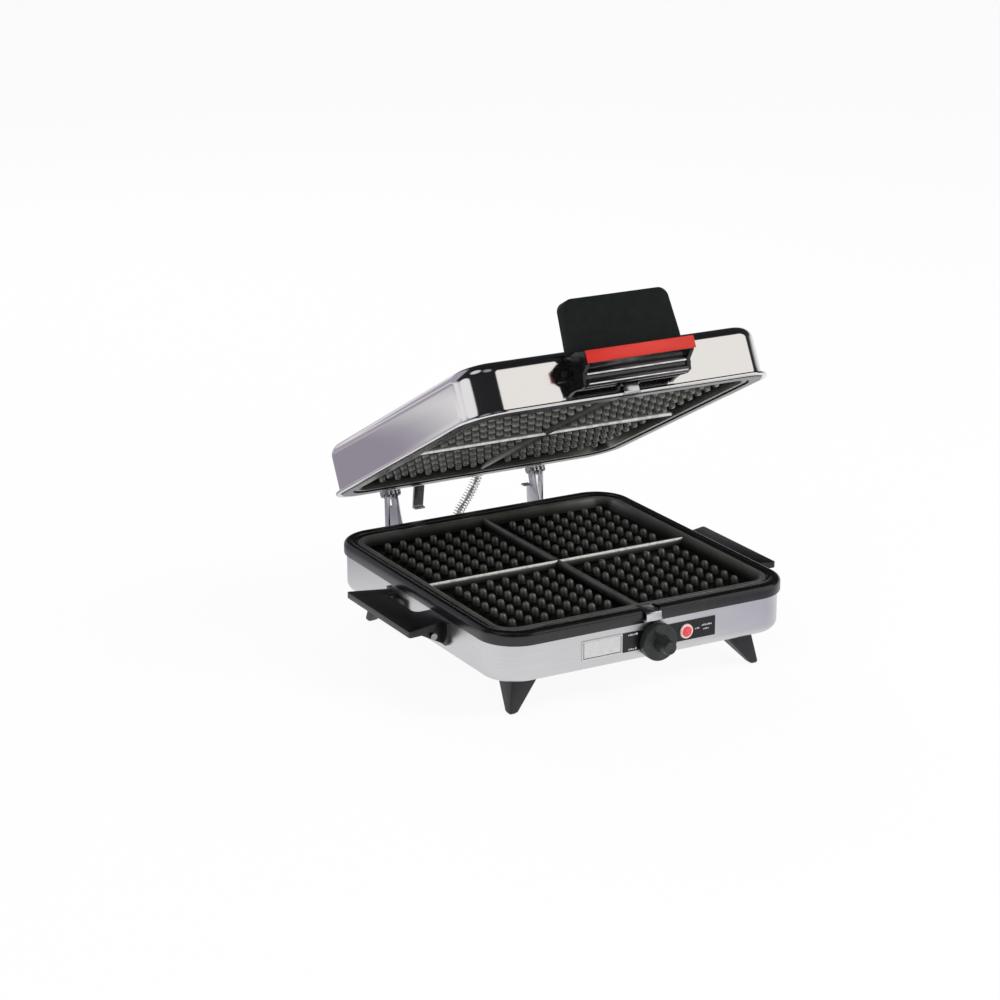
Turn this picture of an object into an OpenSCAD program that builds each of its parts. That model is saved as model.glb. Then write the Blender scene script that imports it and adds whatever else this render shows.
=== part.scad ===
// Square four-waffle iron, shown with its lid lifted and leaned back.
// Axes: X to the right, Y to the back, Z up. The feet stand on Z = 0.
// Lid pieces are drawn as they lie when the iron is shut, then lid_pose() opens them.

/* [Base] */
// Width of the steel housing
body_w = 256; // [240:1:280]
// Depth of the steel housing
body_d = 268; // [252:1:290]
// Height of the steel side wall
steel_h = 30; // [26:1:36]
// Clearance under the housing
foot_h = 29.6; // [24:0.2:34]
// Radius of the upright housing corners
corner_r = 28; // [22:1:32]
// Radius of the rolled lower edge of the housing
bottom_r = 7; // [5:0.5:9]
// Sheet thickness of the housing and lid
sheet_t = 0.8; // [0.6:0.1:1]
// Height of the black rim over the steel
rim_h = 10.6; // [9:0.2:12]
// How far the rim stands out past the steel
rim_overhang = 2.3; // [1.5:0.1:3]

/* [Grids] */
// Half width of a grid
grid_hx = 120.5; // [119:0.5:121]
// Half depth of a grid
grid_hy = 123.5; // [122:0.5:124]
// Distance from one peg to the next
peg_pitch = 13.7; // [13:0.1:14]
// Pegs along each side of a quarter
pegs = 7; // [5:1:7]
// Width of a peg at its root
peg_root = 6.6; // [6:0.1:8.4]
// Width of a peg at its tip
peg_tip = 4.2; // [3.6:0.1:6]
// Height of a peg over the grid floor
peg_h = 6.8; // [5.5:0.1:7.2]
// Depth of the recess from the lip to the grid floor
recess_h = 8.2; // [7:0.1:9]

/* [Lid] */
// Height of the lid housing over its flange plane
lid_h = 41; // [36:1:46]
// Radius of the rolled top edge of the lid
lid_top_r = 10; // [7:0.5:12]
// Opening angle of the lid as shown
lid_open = 28; // [20:1:40]
// How far the lid has risen in its slots as shown
lid_lift = 19.35; // [16:0.05:21]
// Gap between the rim and the lid flange when shut
shut_gap = 0.6; // [0.5:0.1:1]

/* [Hinge] */
// Distance of the hinge pins behind the rear edge of the lid flange
pin_back = 14; // [13:0.5:16]
// Radius of a hinge pin
pin_r = 2; // [1.8:0.1:2.4]
// Radial play of a pin in its holes and slots
pin_play = 0.05; // [0.03:0.01:0.08]
// Distance of each hinge from the middle
hinge_x = 67.9; // [60:0.1:76]

/* [Handles] */
// Outer reach of the side handles from the middle
side_reach = 163.5; // [158:0.5:170]
// Width of the lid handle grip
grip_w = 86; // [80:1:100]
// Width of the standing plate over the lid handle
plate_w = 94; // [88:1:104]
// Height of the top of the standing plate over the lid flange
plate_top = 75; // [70:1:80]

/* [Controls] */
// Distance of the knob from the middle
knob_x = 5; // [0:0.5:6]
// Height of the knob axis
knob_z = 44; // [42:0.5:45]
// Radius of the knob skirt
knob_r = 14.5; // [13:0.1:16]

/* [Hidden] */
$fn = 64;

hx = body_w / 2;
hy = body_d / 2;
steel_top = foot_h + steel_h;
rim_top = steel_top + rim_h;
mate_z = rim_top + shut_gap;

// Lid flange, wall and top
flange_out = 3.5;
bead_r = 1.5;
lid_wall_hx = hx + 1.2;
lid_wall_hy = hy + 1.5;
lid_edge_hy = lid_wall_hy + flange_out;
lid_corner_r = corner_r - 2;

// Hinge
pin_y = lid_edge_hy + pin_back;
pin_low = 0.7;
pin_z = mate_z + pin_low + lid_lift;
ear_r = 5.5;
ear_t = 1.6;
ear_gap = 7.4;
arm_t = 2;

// Grid seats: the opening in each rim and the ledge inside it
seat_play = 0.5;
seat_hx = grid_hx + seat_play;
seat_hy = grid_hy + seat_play;
seat_r = 20;
ledge_w = 4.5;
ledge_z = rim_top - 7;
lip_z = rim_top - 1;
floor_z = lip_z - recess_h;
grid_back_z = floor_z - 3.5;
lip_w = 4.5;
lip_slope = 4.5;
clip_w = 13;
clip_notch_w = 15.5;
clip_notch_h = 2.6;

// Heating elements and reflectors
element_r = 3.2;
element_z = grid_back_z - 4;
reflector_z = element_z - 4.9;
reflector_t = 0.6;
element_run = 84;

// Depth shift that puts the origin under the middle of the whole iron as shown
knob_back_gap = 1.4;
knob_reach = 20.5;
rear_reach = pin_y + lid_lift * sin(lid_open) + ear_r;
front_reach = hy + knob_back_gap + knob_reach;
frame_y = (rear_reach - front_reach) / 2;

// ---------- shared shapes ----------

module place() {
  translate([0, -frame_y, 0]) children();
}

module rounded(half_x, half_y, r) {
  for (sx = [-1, 1], sy = [-1, 1])
    translate([sx * (half_x - r), sy * (half_y - r)]) circle(r);
  square([2 * half_x, 2 * (half_y - r)], center = true);
  square([2 * (half_x - r), 2 * half_y], center = true);
}

module slab(half_x, half_y, r, z0, z1) {
  translate([0, 0, z0]) linear_extrude(z1 - z0) rounded(half_x, half_y, r);
}

// Sweeps a profile round a rounded rectangle. In the profile, X = 0 is the outline and X > 0 is outside.
module around(half_x, half_y, r) {
  for (turn = [0, 180]) rotate(turn) {
    translate([half_x - r, half_y - r]) rotate_extrude(angle = 90) translate([r, 0]) children();
    translate([-(half_x - r), half_y - r]) rotate(90) rotate_extrude(angle = 90) translate([r, 0]) children();
    translate([half_x, half_y - r, 0]) rotate([90, 0, 0]) linear_extrude(2 * (half_y - r)) children();
    translate([-(half_x - r), half_y, 0]) rotate([90, 0, 90])
      linear_extrude(2 * (half_x - r)) children();
  }
}

// Corner of a pressed pan in section: an upright wall, a rolled edge of radius r and a floor inwards
module pan_section(h, r, floor_w, t) {
  difference() {
    pan_solid(h, r, floor_w);
    translate([-t, t]) pan_solid(h, r - t, floor_w);
  }
}

module pan_solid(h, r, floor_w) {
  translate([-r, r]) circle(r);
  translate([-floor_w, r]) square([floor_w, h - r]);
  translate([-floor_w, 0]) square([floor_w - r, h]);
}

// Extrudes a profile drawn in Y and Z along X, from x0 to x1
module along_x(x0, x1) {
  translate([x0, 0, 0]) rotate([90, 0, 90]) linear_extrude(x1 - x0) children();
}

// Extrudes a profile drawn in X and Z along Y, from y0 to y1
module along_y(y0, y1) {
  translate([0, y1, 0]) rotate([90, 0, 0]) linear_extrude(y1 - y0) children();
}

module rod_x(r, x0, x1, y, z) {
  translate([x0, y, z]) rotate([0, 90, 0]) cylinder(h = x1 - x0, r = r);
}

module rod_y(r, y0, y1, x, z) {
  translate([x, y1, z]) rotate([90, 0, 0]) cylinder(h = y1 - y0, r = r);
}

module lid_pose() {
  translate([0, pin_y, pin_z]) rotate([-lid_open, 0, 0]) translate([0, -pin_y, lid_lift - pin_z]) children();
}

// Turns a piece of the lower half over, for the same piece in the lid
module upper_half() {
  middle = rim_top + shut_gap / 2;
  translate([0, 0, 2 * middle]) mirror([0, 0, 1]) children();
}

// ---------- housing ----------

module base_shell() {
  lip = 6;
  floor_w = 14;
  color("silver") difference() {
    union() {
      translate([0, 0, foot_h]) around(hx, hy, corner_r) {
        pan_section(steel_h, bottom_r, floor_w, sheet_t);
        translate([-lip, steel_h - sheet_t]) square([lip, sheet_t]);
      }
    }
    rod_y(5.3, -hy - 1, -hy + 3, knob_x, knob_z);
    rod_y(lamp_r - 1.4, -hy - 1, -hy + 3, lamp_x, lamp_z);
    rod_y(inlet_r, hy - 3, hy + 1, inlet_x, inlet_z);
    rod_y(gland_r, hy - 3, hy + 1, gland_x, gland_z);
  }
}

module bottom_cover() {
  slots = 9;
  slot_pitch = 12;
  slot_half_w = 1.6;
  slot_half_len = 17;
  edge_in = bottom_r + 0.1;
  color("dimgray") difference() {
    slab(hx - edge_in, hy - edge_in, corner_r - edge_in, foot_h + sheet_t, foot_h + sheet_t + 1);
    for (side = [-1, 1], i = [0 : slots - 1])
      translate([(i - (slots - 1) / 2) * slot_pitch, side * 62, 0])
        slab(slot_half_w, slot_half_len, slot_half_w - 0.1, foot_h, foot_h + 3);
  }
}

module base_rim() {
  top_r = 3.8;
  step_w = 3.2;
  step_h = 1;
  color([0.08, 0.08, 0.08]) difference() {
    union() {
      slab(hx - 1.5, hy - 1.5, corner_r - 1.5, steel_top, rim_top);
      around(hx, hy, corner_r) {
        translate([rim_overhang - top_r, rim_top - top_r]) circle(top_r);
        translate([-3, steel_top + 0.6]) square([3 + rim_overhang, rim_h - top_r - 0.6]);
        translate([-3, steel_top]) square([3 + rim_overhang - 0.6, rim_h - top_r]);
      }
      clip_lugs(-hy + 1);
    }
    clip_pin_hole();
    slab(seat_hx, seat_hy, seat_r, ledge_z, rim_top + 1);
    slab(seat_hx + step_w, seat_hy + step_w, seat_r + step_w, rim_top - step_h, rim_top + 1);
    slab(seat_hx - ledge_w, seat_hy - ledge_w, seat_r - ledge_w, steel_top - 1, rim_top);
    clip_cut();
  }
}

// Notch that lets the clip cross the rim and the lip of the grid
module clip_cut() {
  translate([-clip_notch_w / 2, -hy - 8, rim_top - clip_notch_h])
    cube([clip_notch_w, hy - grid_hy + 8 + lip_w - 1, clip_notch_h + 2]);
}

clip_pivot_y = -hy - rim_overhang - 2;
clip_pivot_z = steel_top + 2.6;
clip_pin_r = 0.9;
clip_knuckle_r = 1.75;
lug_t = 1.6;
clip_pin_reach = clip_w / 2 + 0.4 + lug_t - 0.5;

// Two lugs that hold a clip pin, rooted in the wall behind them
module clip_lugs(root_y) {
  for (side = [-1, 1]) {
    x0 = side > 0 ? clip_w / 2 + 0.4 : -clip_w / 2 - 0.4 - lug_t;
    rod_x(clip_knuckle_r, x0, x0 + lug_t, clip_pivot_y, clip_pivot_z);
    translate([x0, clip_pivot_y, clip_pivot_z - clip_knuckle_r])
      cube([lug_t, root_y - clip_pivot_y, 2 * clip_knuckle_r]);
  }
}

module clip_pin_hole() {
  rod_x(clip_pin_r + 0.01, -clip_pin_reach - 0.05, clip_pin_reach + 0.05, clip_pivot_y, clip_pivot_z);
}

module lower_clip_pin() {
  color("silver") rod_x(clip_pin_r, -clip_pin_reach, clip_pin_reach, clip_pivot_y, clip_pivot_z);
}

// Sprung strap: it turns on the pin, rises in front of the rim and hooks over the lip of the grid
module lower_clip() {
  strap_t = 0.9;
  hook_z = rim_top - clip_notch_h + 0.5;
  front_y = clip_pivot_y - clip_knuckle_r;
  bend_r = 2;
  color("gainsboro") difference() {
    union() {
      rod_x(clip_knuckle_r, -clip_w / 2, clip_w / 2, clip_pivot_y, clip_pivot_z);
      translate([-clip_w / 2, front_y, clip_pivot_z])
        cube([clip_w, strap_t, hook_z + strap_t - bend_r - clip_pivot_z]);
      along_x(-clip_w / 2, clip_w / 2) translate([front_y + bend_r, hook_z + strap_t - bend_r]) intersection() {
        difference() {
          circle(bend_r);
          circle(bend_r - strap_t);
        }
        translate([-bend_r, 0]) square(bend_r);
      }
      translate([-clip_w / 2, front_y + bend_r, hook_z])
        cube([clip_w, -grid_hy + 2.4 - front_y - bend_r, strap_t]);
    }
    rod_x(clip_pin_r + pin_play, -clip_w, clip_w, clip_pivot_y, clip_pivot_z);
  }
}

// Foot: a moulded wedge that narrows downwards and spreads towards its corner
module foot(sx, sy) {
  tip_x = 107.3;
  tip_y = 114.6;
  color([0.1, 0.1, 0.1]) mirror([sx < 0 ? 1 : 0, 0, 0]) mirror([0, sy < 0 ? 1 : 0, 0]) intersection() {
    along_y(0, hy) translate([tip_x, 0]) foot_side();
    mirror([1, -1, 0]) along_y(0, hx) translate([tip_y, 0]) foot_side();
  }
}

module foot_side() {
  half_tip = 3.2;
  seat = foot_h + sheet_t;
  out_lean = 5.6;
  in_lean = 24;
  toe = 1.4;
  polygon([
    [half_tip - out_lean, seat], [half_tip - toe * 0.2, toe], [half_tip - toe, 0],
    [-half_tip + toe, 0], [-half_tip - toe * 0.8, toe], [half_tip - out_lean - in_lean, seat - 3],
    [half_tip - out_lean - in_lean, seat]
  ]);
}

// ---------- grids ----------

// Row of teeth seen from the end: both quarters, with the pegs of each centred in it
module peg_row(half_len, base_z, top_z, low_z) {
  flank = (peg_root - peg_tip) / 2;
  divider_half = 2.5;
  quarter_mid = (divider_half + half_len) / 2;
  teeth = [
    for (side = [-1, 1], i = [0 : pegs - 1])
      side * quarter_mid + (i - (pegs - 1) / 2) * peg_pitch
  ];
  polygon(concat(
    [[-half_len, low_z], [-half_len, base_z]],
    [for (c = teeth, p = [[-1, 0], [-1, 1], [1, 1], [1, 0]])
      [c + p[0] * (peg_root / 2 - p[1] * flank), p[1] == 1 ? top_z : base_z]],
    [[half_len, base_z], [half_len, low_z]]
  ));
}

module recess_side(half_len) {
  polygon([
    [-half_len, floor_z], [-half_len - lip_slope, lip_z], [-half_len - lip_slope, lip_z + 5],
    [half_len + lip_slope, lip_z + 5], [half_len + lip_slope, lip_z], [half_len, floor_z]
  ]);
}

module divider_side() {
  polygon([[-2.6, floor_z - 1], [-1.2, lip_z - 1.2], [1.2, lip_z - 1.2], [2.6, floor_z - 1]]);
}

module grid_plate() {
  field_hx = grid_hx - lip_w - lip_slope;
  field_hy = grid_hy - lip_w - lip_slope;
  pan_hx = seat_hx - ledge_w - 0.7;
  pan_hy = seat_hy - ledge_w - 0.7;
  difference() {
    union() {
      slab(grid_hx, grid_hy, seat_r - seat_play, ledge_z, lip_z);
      slab(pan_hx, pan_hy, seat_r - ledge_w - 0.7, grid_back_z, ledge_z);
    }
    intersection() {
      along_y(-hy, hy) recess_side(field_hx);
      along_x(-hx, hx) recess_side(field_hy);
      slab(field_hx + lip_slope, field_hy + lip_slope, 14, floor_z, lip_z + 2);
    }
    clip_cut();
  }
  intersection() {
    along_y(-field_hy, field_hy) peg_row(field_hx, floor_z - 0.5, floor_z + peg_h, floor_z - 2);
    along_x(-field_hx, field_hx) peg_row(field_hy, floor_z - 0.5, floor_z + peg_h, floor_z - 2);
  }
  along_y(-field_hy - 2, field_hy + 2) divider_side();
  along_x(-field_hx - 2, field_hx + 2) divider_side();
}

module lower_grid() {
  color([0.13, 0.13, 0.13]) grid_plate();
}

module upper_grid() {
  color([0.13, 0.13, 0.13]) lid_pose() upper_half() grid_plate();
}

// ---------- heating ----------

// Sheathed heater bent into four runs, its two cold ends at the back
module element() {
  step = 2 * element_run / 3;
  bend = step / 2;
  run = 86;
  for (i = [0 : 3])
    rod_y(element_r, -run, i == 0 || i == 3 ? run + 12 : run, -element_run + i * step, element_z);
  for (i = [0 : 2])
    translate([-element_run + (i + 0.5) * step, (i == 1 ? 1 : -1) * run, element_z])
      rotate([0, 0, i == 1 ? 0 : 180]) rotate_extrude(angle = 180) translate([bend, 0]) circle(element_r);
}

module lower_element() {
  color([0.3, 0.28, 0.27]) element();
}

module upper_element() {
  color([0.3, 0.28, 0.27]) lid_pose() upper_half() element();
}

// Shallow pan that throws the heat at the grid, hung by its edge from the rim, with ribs under the heater
module reflector() {
  pan_hx = seat_hx - 1.4;
  pan_hy = seat_hy - 1.4;
  edge = 2;
  slab(pan_hx, pan_hy, seat_r - 1.4, reflector_z - reflector_t, reflector_z);
  difference() {
    slab(pan_hx, pan_hy, seat_r - 1.4, reflector_z - reflector_t, steel_top);
    slab(pan_hx - reflector_t, pan_hy - reflector_t, seat_r - 2, reflector_z - 2, steel_top + 1);
  }
  difference() {
    slab(pan_hx + edge, pan_hy + edge, seat_r, steel_top - reflector_t, steel_top);
    slab(pan_hx - reflector_t, pan_hy - reflector_t, seat_r - 2, steel_top - 2, steel_top + 1);
  }
  for (y = [-60, 60])
    translate([-element_run - 6, y - 1, reflector_z])
      cube([2 * element_run + 12, 2, element_z - element_r - reflector_z]);
}

module lower_reflector() {
  color("lightsteelblue") reflector();
}

module upper_reflector() {
  color("lightsteelblue") lid_pose() upper_half() reflector();
}

// ---------- controls ----------

lamp_x = 32;
lamp_z = 46;
lamp_r = 5.6;
label_z0 = 38.7;
label_z1 = 53.9;
label_x0 = -23.5;
label_x1 = 58;
plate_x0 = -58.8;
label_t = 0.5;
shaft_r = 3;

module thermostat() {
  color("tan") difference() {
    union() {
      translate([knob_x - 17, -hy + 7, knob_z - 9]) cube([34, 22, 12.4]);
      rod_y(5, -hy + sheet_t, -hy + 7, knob_x, knob_z);
    }
    rod_y(shaft_r + pin_play, -hy - 1, -hy + 20, knob_x, knob_z);
  }
}

module thermostat_shaft() {
  color("silver") rod_y(shaft_r, -hy - 8, -hy + 18, knob_x, knob_z);
}

// Half profile of the knob: a thick skirt with a rounded edge, a tapered grip and a dished end
module knob_profile() {
  skirt_t = 7;
  skirt_edge = 1.4;
  root_r = 6.9;
  tip_r = 5.3;
  tip_edge = 1.1;
  end_dish = 0.6;
  dish_r = 16;
  difference() {
    union() {
      square([knob_r, skirt_t - skirt_edge]);
      square([knob_r - skirt_edge, skirt_t]);
      translate([knob_r - skirt_edge, skirt_t - skirt_edge]) circle(skirt_edge);
      polygon([
        [0, 0], [root_r, 0], [root_r, skirt_t],
        [tip_r, knob_reach - tip_edge], [0, knob_reach - tip_edge]
      ]);
      square([tip_r - tip_edge, knob_reach]);
      translate([tip_r - tip_edge, knob_reach - tip_edge]) circle(tip_edge);
    }
    translate([0, knob_reach + dish_r - end_dish]) circle(dish_r);
  }
}

// Knob: turned from its profile, with flutes that fade towards the tip and a pointer rib on the skirt
module knob() {
  flutes = 10;
  flute_r = 1.5;
  flute_out = 7.3;
  flute_z0 = 7.2;
  turned = 24;
  rib_r0 = 8.4;
  rib_w = 1.8;
  color([0.12, 0.12, 0.12]) difference() {
    translate([knob_x, -hy - knob_back_gap, knob_z]) rotate([90, 0, 0]) {
      difference() {
        rotate_extrude() knob_profile();
        for (i = [1 : flutes]) rotate(turned + (i - 0.5) * 360 / flutes)
          translate([flute_out, 0, flute_z0]) cylinder(h = knob_reach, r = flute_r);
      }
      rotate(turned) translate([-rib_w / 2, rib_r0, 6]) cube([rib_w, knob_r - 1.6 - rib_r0, 1.8]);
    }
    rod_y(shaft_r, -hy - 8, -hy + 1, knob_x, knob_z);
  }
}

// Bare plate with a raised border
module name_plate() {
  gap = 0.8;
  border = 0.9;
  w = label_x0 - gap - plate_x0;
  h = label_z1 - label_z0;
  color("silver") difference() {
    translate([plate_x0, -hy - border, label_z0]) cube([w, border, h]);
    translate([plate_x0 + border, -hy - label_t - 2, label_z0 + border])
      cube([w - 2 * border, 2, h - 2 * border]);
  }
}

module control_label() {
  shaft_hole_r = 4.4;
  color([0.06, 0.06, 0.06]) difference() {
    translate([label_x0, -hy - label_t, label_z0]) cube([label_x1 - label_x0, label_t, label_z1 - label_z0]);
    rod_y(shaft_hole_r, -hy - 1, -hy + 1, knob_x, knob_z);
    rod_y(lamp_r - 1.4, -hy - 1, -hy + 1, lamp_x, lamp_z);
  }
}

module lamp_bezel() {
  color("mistyrose") translate([lamp_x, -hy - label_t, lamp_z]) rotate([90, 0, 0]) rotate_extrude()
    polygon([[lamp_r - 1.4, 0], [lamp_r, 0], [lamp_r, 0.9], [lamp_r - 0.5, 1.5], [lamp_r - 1.4, 1.5]]);
}

module lamp_lens() {
  dome_r = 9;
  dome_h = 1;
  color([0.85, 0.1, 0.12]) intersection() {
    rod_y(lamp_r - 1.45, -hy - 3.2, -hy + 4, lamp_x, lamp_z);
    translate([lamp_x, -hy - label_t - 1.5 - dome_h + dome_r, lamp_z]) sphere(dome_r);
  }
}

// ---------- side handles ----------

handle_y0 = -62;
handle_y1 = 42;
handle_taper = 11;
handle_top = 56.8;
handle_plate_t = 3;
handle_band = 3.4;
slot_x1 = 139.8;
slot_y0 = -25;
slot_y1 = 24;
gusset_z0 = 39;
gusset_screw_x = 140.5;
gusset_screw_z = 47.8;
flange_w = 29;
flange_t = 2.6;
flange_y = [handle_y0 + 3, handle_y1 - 3 - flange_w];

// Hand plate for the right side. A band under its edge is a shallow lip outside and deepens to a gusset
// at each end, where a foot lies on the steel. A slot beside the steel keeps the plate cool.
module side_handle() {
  slot_r = 5;
  slot_w = slot_x1 - hx;
  color([0.09, 0.09, 0.09]) difference() {
    union() {
      translate([0, 0, handle_top - handle_plate_t]) linear_extrude(handle_plate_t) handle_plan(0);
      intersection() {
        translate([0, 0, gusset_z0]) linear_extrude(handle_top - gusset_z0) difference() {
          handle_plan(0);
          handle_plan(handle_band);
        }
        along_y(handle_y0, handle_y1) gusset_side();
      }
      for (y = flange_y) along_x(hx, hx + flange_t) foot_plan(y);
    }
    translate([slot_x1 - slot_w, (slot_y0 + slot_y1) / 2, 0])
      slab(slot_w, (slot_y1 - slot_y0) / 2, slot_r, handle_top - handle_plate_t - 1, handle_top + 1);
    for (y = gusset_face) rod_y(1.6, y - 2 * handle_band, y + 2 * handle_band, gusset_screw_x, gusset_screw_z);
  }
}

// Middles of the two gussets at their screws
gusset_shift = handle_taper * (side_reach - gusset_screw_x) / (side_reach - hx);
gusset_face = [handle_y0 + gusset_shift + handle_band / 2, handle_y1 - gusset_shift - handle_band / 2];

module handle_plan(inset) {
  corner = 1.6;
  x1 = side_reach - inset;
  wall_inset = inset == 0 ? handle_taper : handle_taper + inset;
  polygon([
    [hx, handle_y0 + wall_inset], [x1 - corner, handle_y0 + inset + corner * 0.4],
    [x1, handle_y0 + inset + corner], [x1, handle_y1 - inset - corner],
    [x1 - corner, handle_y1 - inset - corner * 0.4], [hx, handle_y1 - wall_inset]
  ]);
}

module gusset_side() {
  lip_h = 4.6;
  polygon([
    [hx, gusset_z0], [hx + flange_t, gusset_z0], [side_reach - 12, handle_top - lip_h - 1.2],
    [side_reach + 1, handle_top - lip_h], [side_reach + 1, handle_top], [hx, handle_top]
  ]);
}

module foot_plan(y0) {
  chamfer = 3;
  y1 = y0 + flange_w;
  z0 = gusset_z0 - 0.5;
  polygon([
    [y0 + chamfer, z0], [y1 - chamfer, z0], [y1, z0 + chamfer], [y1, handle_top],
    [y0, handle_top], [y0, z0 + chamfer]
  ]);
}

module right_handle() {
  side_handle();
}

module left_handle() {
  mirror([1, 0, 0]) side_handle();
}

// Screws through the gussets, with their heads on the outer faces
module handle_screws() {
  head_t = 1.5;
  shank = 7;
  color("silver") for (x = [-gusset_screw_x, gusset_screw_x], end = [0, 1])
    translate([x, gusset_face[end], gusset_screw_z]) rotate([end == 0 ? 90 : -90, 0, 0]) {
      translate([0, 0, handle_band / 2 + 0.9]) cylinder(h = head_t, r = 2.6);
      translate([0, 0, handle_band / 2 + 0.9 - shank]) cylinder(h = shank, r = 1.58);
    }
}

module cover_screws() {
  color("silver") for (sx = [-1, 1], sy = [-1, 1]) {
    translate([sx * 92, sy * 40, foot_h + sheet_t - 1.5]) cylinder(h = 1.5, r = 3);
    translate([sx * 40, sy * 108, foot_h + sheet_t - 1.5]) cylinder(h = 1.5, r = 3);
  }
}

// ---------- back of the base ----------

inlet_x = 100;
inlet_z = 44;
inlet_r = 6;
gland_x = -12;
gland_z = 45;
gland_r = 5;

// Moulded sleeve that the supply cord leaves through
module cord_inlet() {
  color([0.1, 0.1, 0.1]) difference() {
    translate([inlet_x, hy, inlet_z]) rotate([-90, 0, 0]) {
      translate([0, 0, -4]) cylinder(h = 4, r = inlet_r - 0.05);
      cylinder(h = 2.4, r = 9);
      translate([0, 0, 2.4]) cylinder(h = 9, r1 = 6.4, r2 = 5.2);
    }
    rod_y(3.4, hy - 6, hy + 20, inlet_x, inlet_z);
  }
}

module conduit_gland() {
  color("silver") difference() {
    translate([gland_x, hy, gland_z]) rotate([-90, 0, 0]) {
      translate([0, 0, -4]) cylinder(h = 4, r = gland_r - 0.05);
      cylinder(h = 2.2, r = 8, $fn = 6);
      translate([0, 0, 2.2]) cylinder(h = 3.4, r = 6.2);
    }
    rod_y(4.6, hy - 6, hy + 8, gland_x, gland_z);
  }
}

module terminal_block() {
  color("ivory") translate([-30, 90, foot_h + sheet_t + 1]) difference() {
    cube([44, 16, 11]);
    for (i = [0 : 2]) translate([8 + i * 14, 8, 4]) cylinder(h = 8, r = 3);
  }
}

// Pressed bracket, drawn for the right side: a foot on the rear wall, a narrow outer ear, and a wider
// inner ear with a step that is bent over to stop the lid
module hinge_bracket(side) {
  foot_t = 1.4;
  stop_w = 5;
  stop_t = 1.3;
  color("gainsboro") mirror([side < 0 ? 1 : 0, 0, 0]) difference() {
    union() {
      along_x(ear_x, ear_x + ear_t) outer_ear();
      along_x(ear_x - ear_gap, ear_x - ear_gap + ear_t) inner_ear();
      translate([ear_x - ear_gap - 6, hy, ear_foot_z]) cube([ear_gap + 14, foot_t, ear_foot_h]);
      translate([ear_x - ear_gap - stop_w, pin_y + 2.6, pin_z + stop_dz - stop_t])
        cube([stop_w + ear_t, 5, stop_t]);
    }
    rod_x(pin_r + pin_play, hinge_x - 20, hinge_x + 20, pin_y, pin_z);
  }
}

ear_x = hinge_x + ear_gap / 2 - 0.5;
ear_foot_z = foot_h + bottom_r + 1;
ear_foot_h = 19;
stop_dz = -13.6;

module inner_ear() {
  translate([pin_y, pin_z]) circle(ear_r);
  polygon([
    [hy, ear_foot_z], [hy, ear_foot_z + ear_foot_h], [hy + 3, steel_top], [hy + 5.9, rim_top - 1.5],
    [pin_y - 5.2, pin_z - 2.5], [pin_y, pin_z], [pin_y + 5, pin_z - 3.5], [pin_y + 2.6, pin_z + stop_dz + 2],
    [pin_y + 2.6, pin_z + stop_dz], [pin_y + 7.6, pin_z + stop_dz], [pin_y + 6, steel_top + 2],
    [pin_y - 2, ear_foot_z + 6], [pin_y - 9, ear_foot_z]
  ]);
}

module outer_ear() {
  translate([pin_y, pin_z]) circle(ear_r);
  polygon([
    [hy, ear_foot_z], [hy, ear_foot_z + ear_foot_h], [hy + 5, steel_top - 1], [pin_y - 5.4, steel_top + 6],
    [pin_y - 5.4, pin_z - 1.5], [pin_y, pin_z], [pin_y + 1.4, pin_z - 5], [pin_y + 0.6, steel_top + 3],
    [hy + 9, ear_foot_z + 4], [hy + 5, ear_foot_z]
  ]);
}

module hinge_bracket_left() {
  hinge_bracket(-1);
}

module hinge_bracket_right() {
  hinge_bracket(1);
}

module bracket_rivets() {
  color("silver") for (side = [-1, 1], x = [ear_x - ear_gap - 3.2, ear_x + 5], z = [43, 53])
    rod_y(2, hy + 1.4, hy + 2.4, side * x, z);
}

module hinge_pin(side) {
  reach = ear_gap / 2 + 3.4;
  head_r = 3.4;
  half_head = 0.7;
  color("silver") translate([side * hinge_x, 0, 0]) {
    rod_x(pin_r, -reach, reach, pin_y, pin_z);
    for (x = [-reach, reach]) rod_x(head_r, x - half_head, x + half_head, pin_y, pin_z);
  }
}

module hinge_pin_left() {
  hinge_pin(-1);
}

module hinge_pin_right() {
  hinge_pin(1);
}

// Route of the sprung sleeve round the lid wires, from inside its cover down to the gland
conduit_r = 4.4;
conduit_route = [
  [12.5, 150.3, 108.2], [12.4, 149, 105], [12, 147.8, 101.5], [9, 147.5, 93], [3.5, 148, 82],
  [-2.5, 149.5, 72], [-7, 151, 63], [-10, 150.5, 54], [-11.6, 147, 47.6], [-12, 143, 45], [-12, 139.9, 44.9]
];

function unit(v) = v / norm(v);
function curve_point(p, i, t) =
  let (a = p[max(i - 1, 0)], b = p[i], c = p[i + 1], d = p[min(i + 2, len(p) - 1)])
  0.5 * (2 * b + (c - a) * t + (2 * a - 5 * b + 4 * c - d) * t * t + (3 * b - a - 3 * c + d) * t * t * t);

module wire_conduit() {
  sides = 10;
  steps = 3;
  path = [
    for (i = [0 : len(conduit_route) - 2], k = [0 : steps - 1]) curve_point(conduit_route, i, k / steps),
    conduit_route[len(conduit_route) - 1]
  ];
  n = len(path);
  rings = [
    for (i = [0 : n - 1])
      let (
        d = unit(path[min(i + 1, n - 1)] - path[max(i - 1, 0)]),
        u = unit(cross(d, [1, 0, 0])),
        v = cross(d, u)
      )
      for (k = [0 : sides - 1]) path[i] + conduit_r * (u * cos(360 * k / sides) + v * sin(360 * k / sides))
  ];
  faces = concat(
    [[for (k = [0 : sides - 1]) k]],
    [for (i = [0 : n - 2], k = [0 : sides - 1]) let (j = (k + 1) % sides)
      [i * sides + k, (i + 1) * sides + k, (i + 1) * sides + j, i * sides + j]],
    [[for (k = [sides - 1 : -1 : 0]) (n - 1) * sides + k]]
  );
  color("silver") polyhedron(rings, faces, convexity = 4);
}

// ---------- lid ----------

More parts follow.
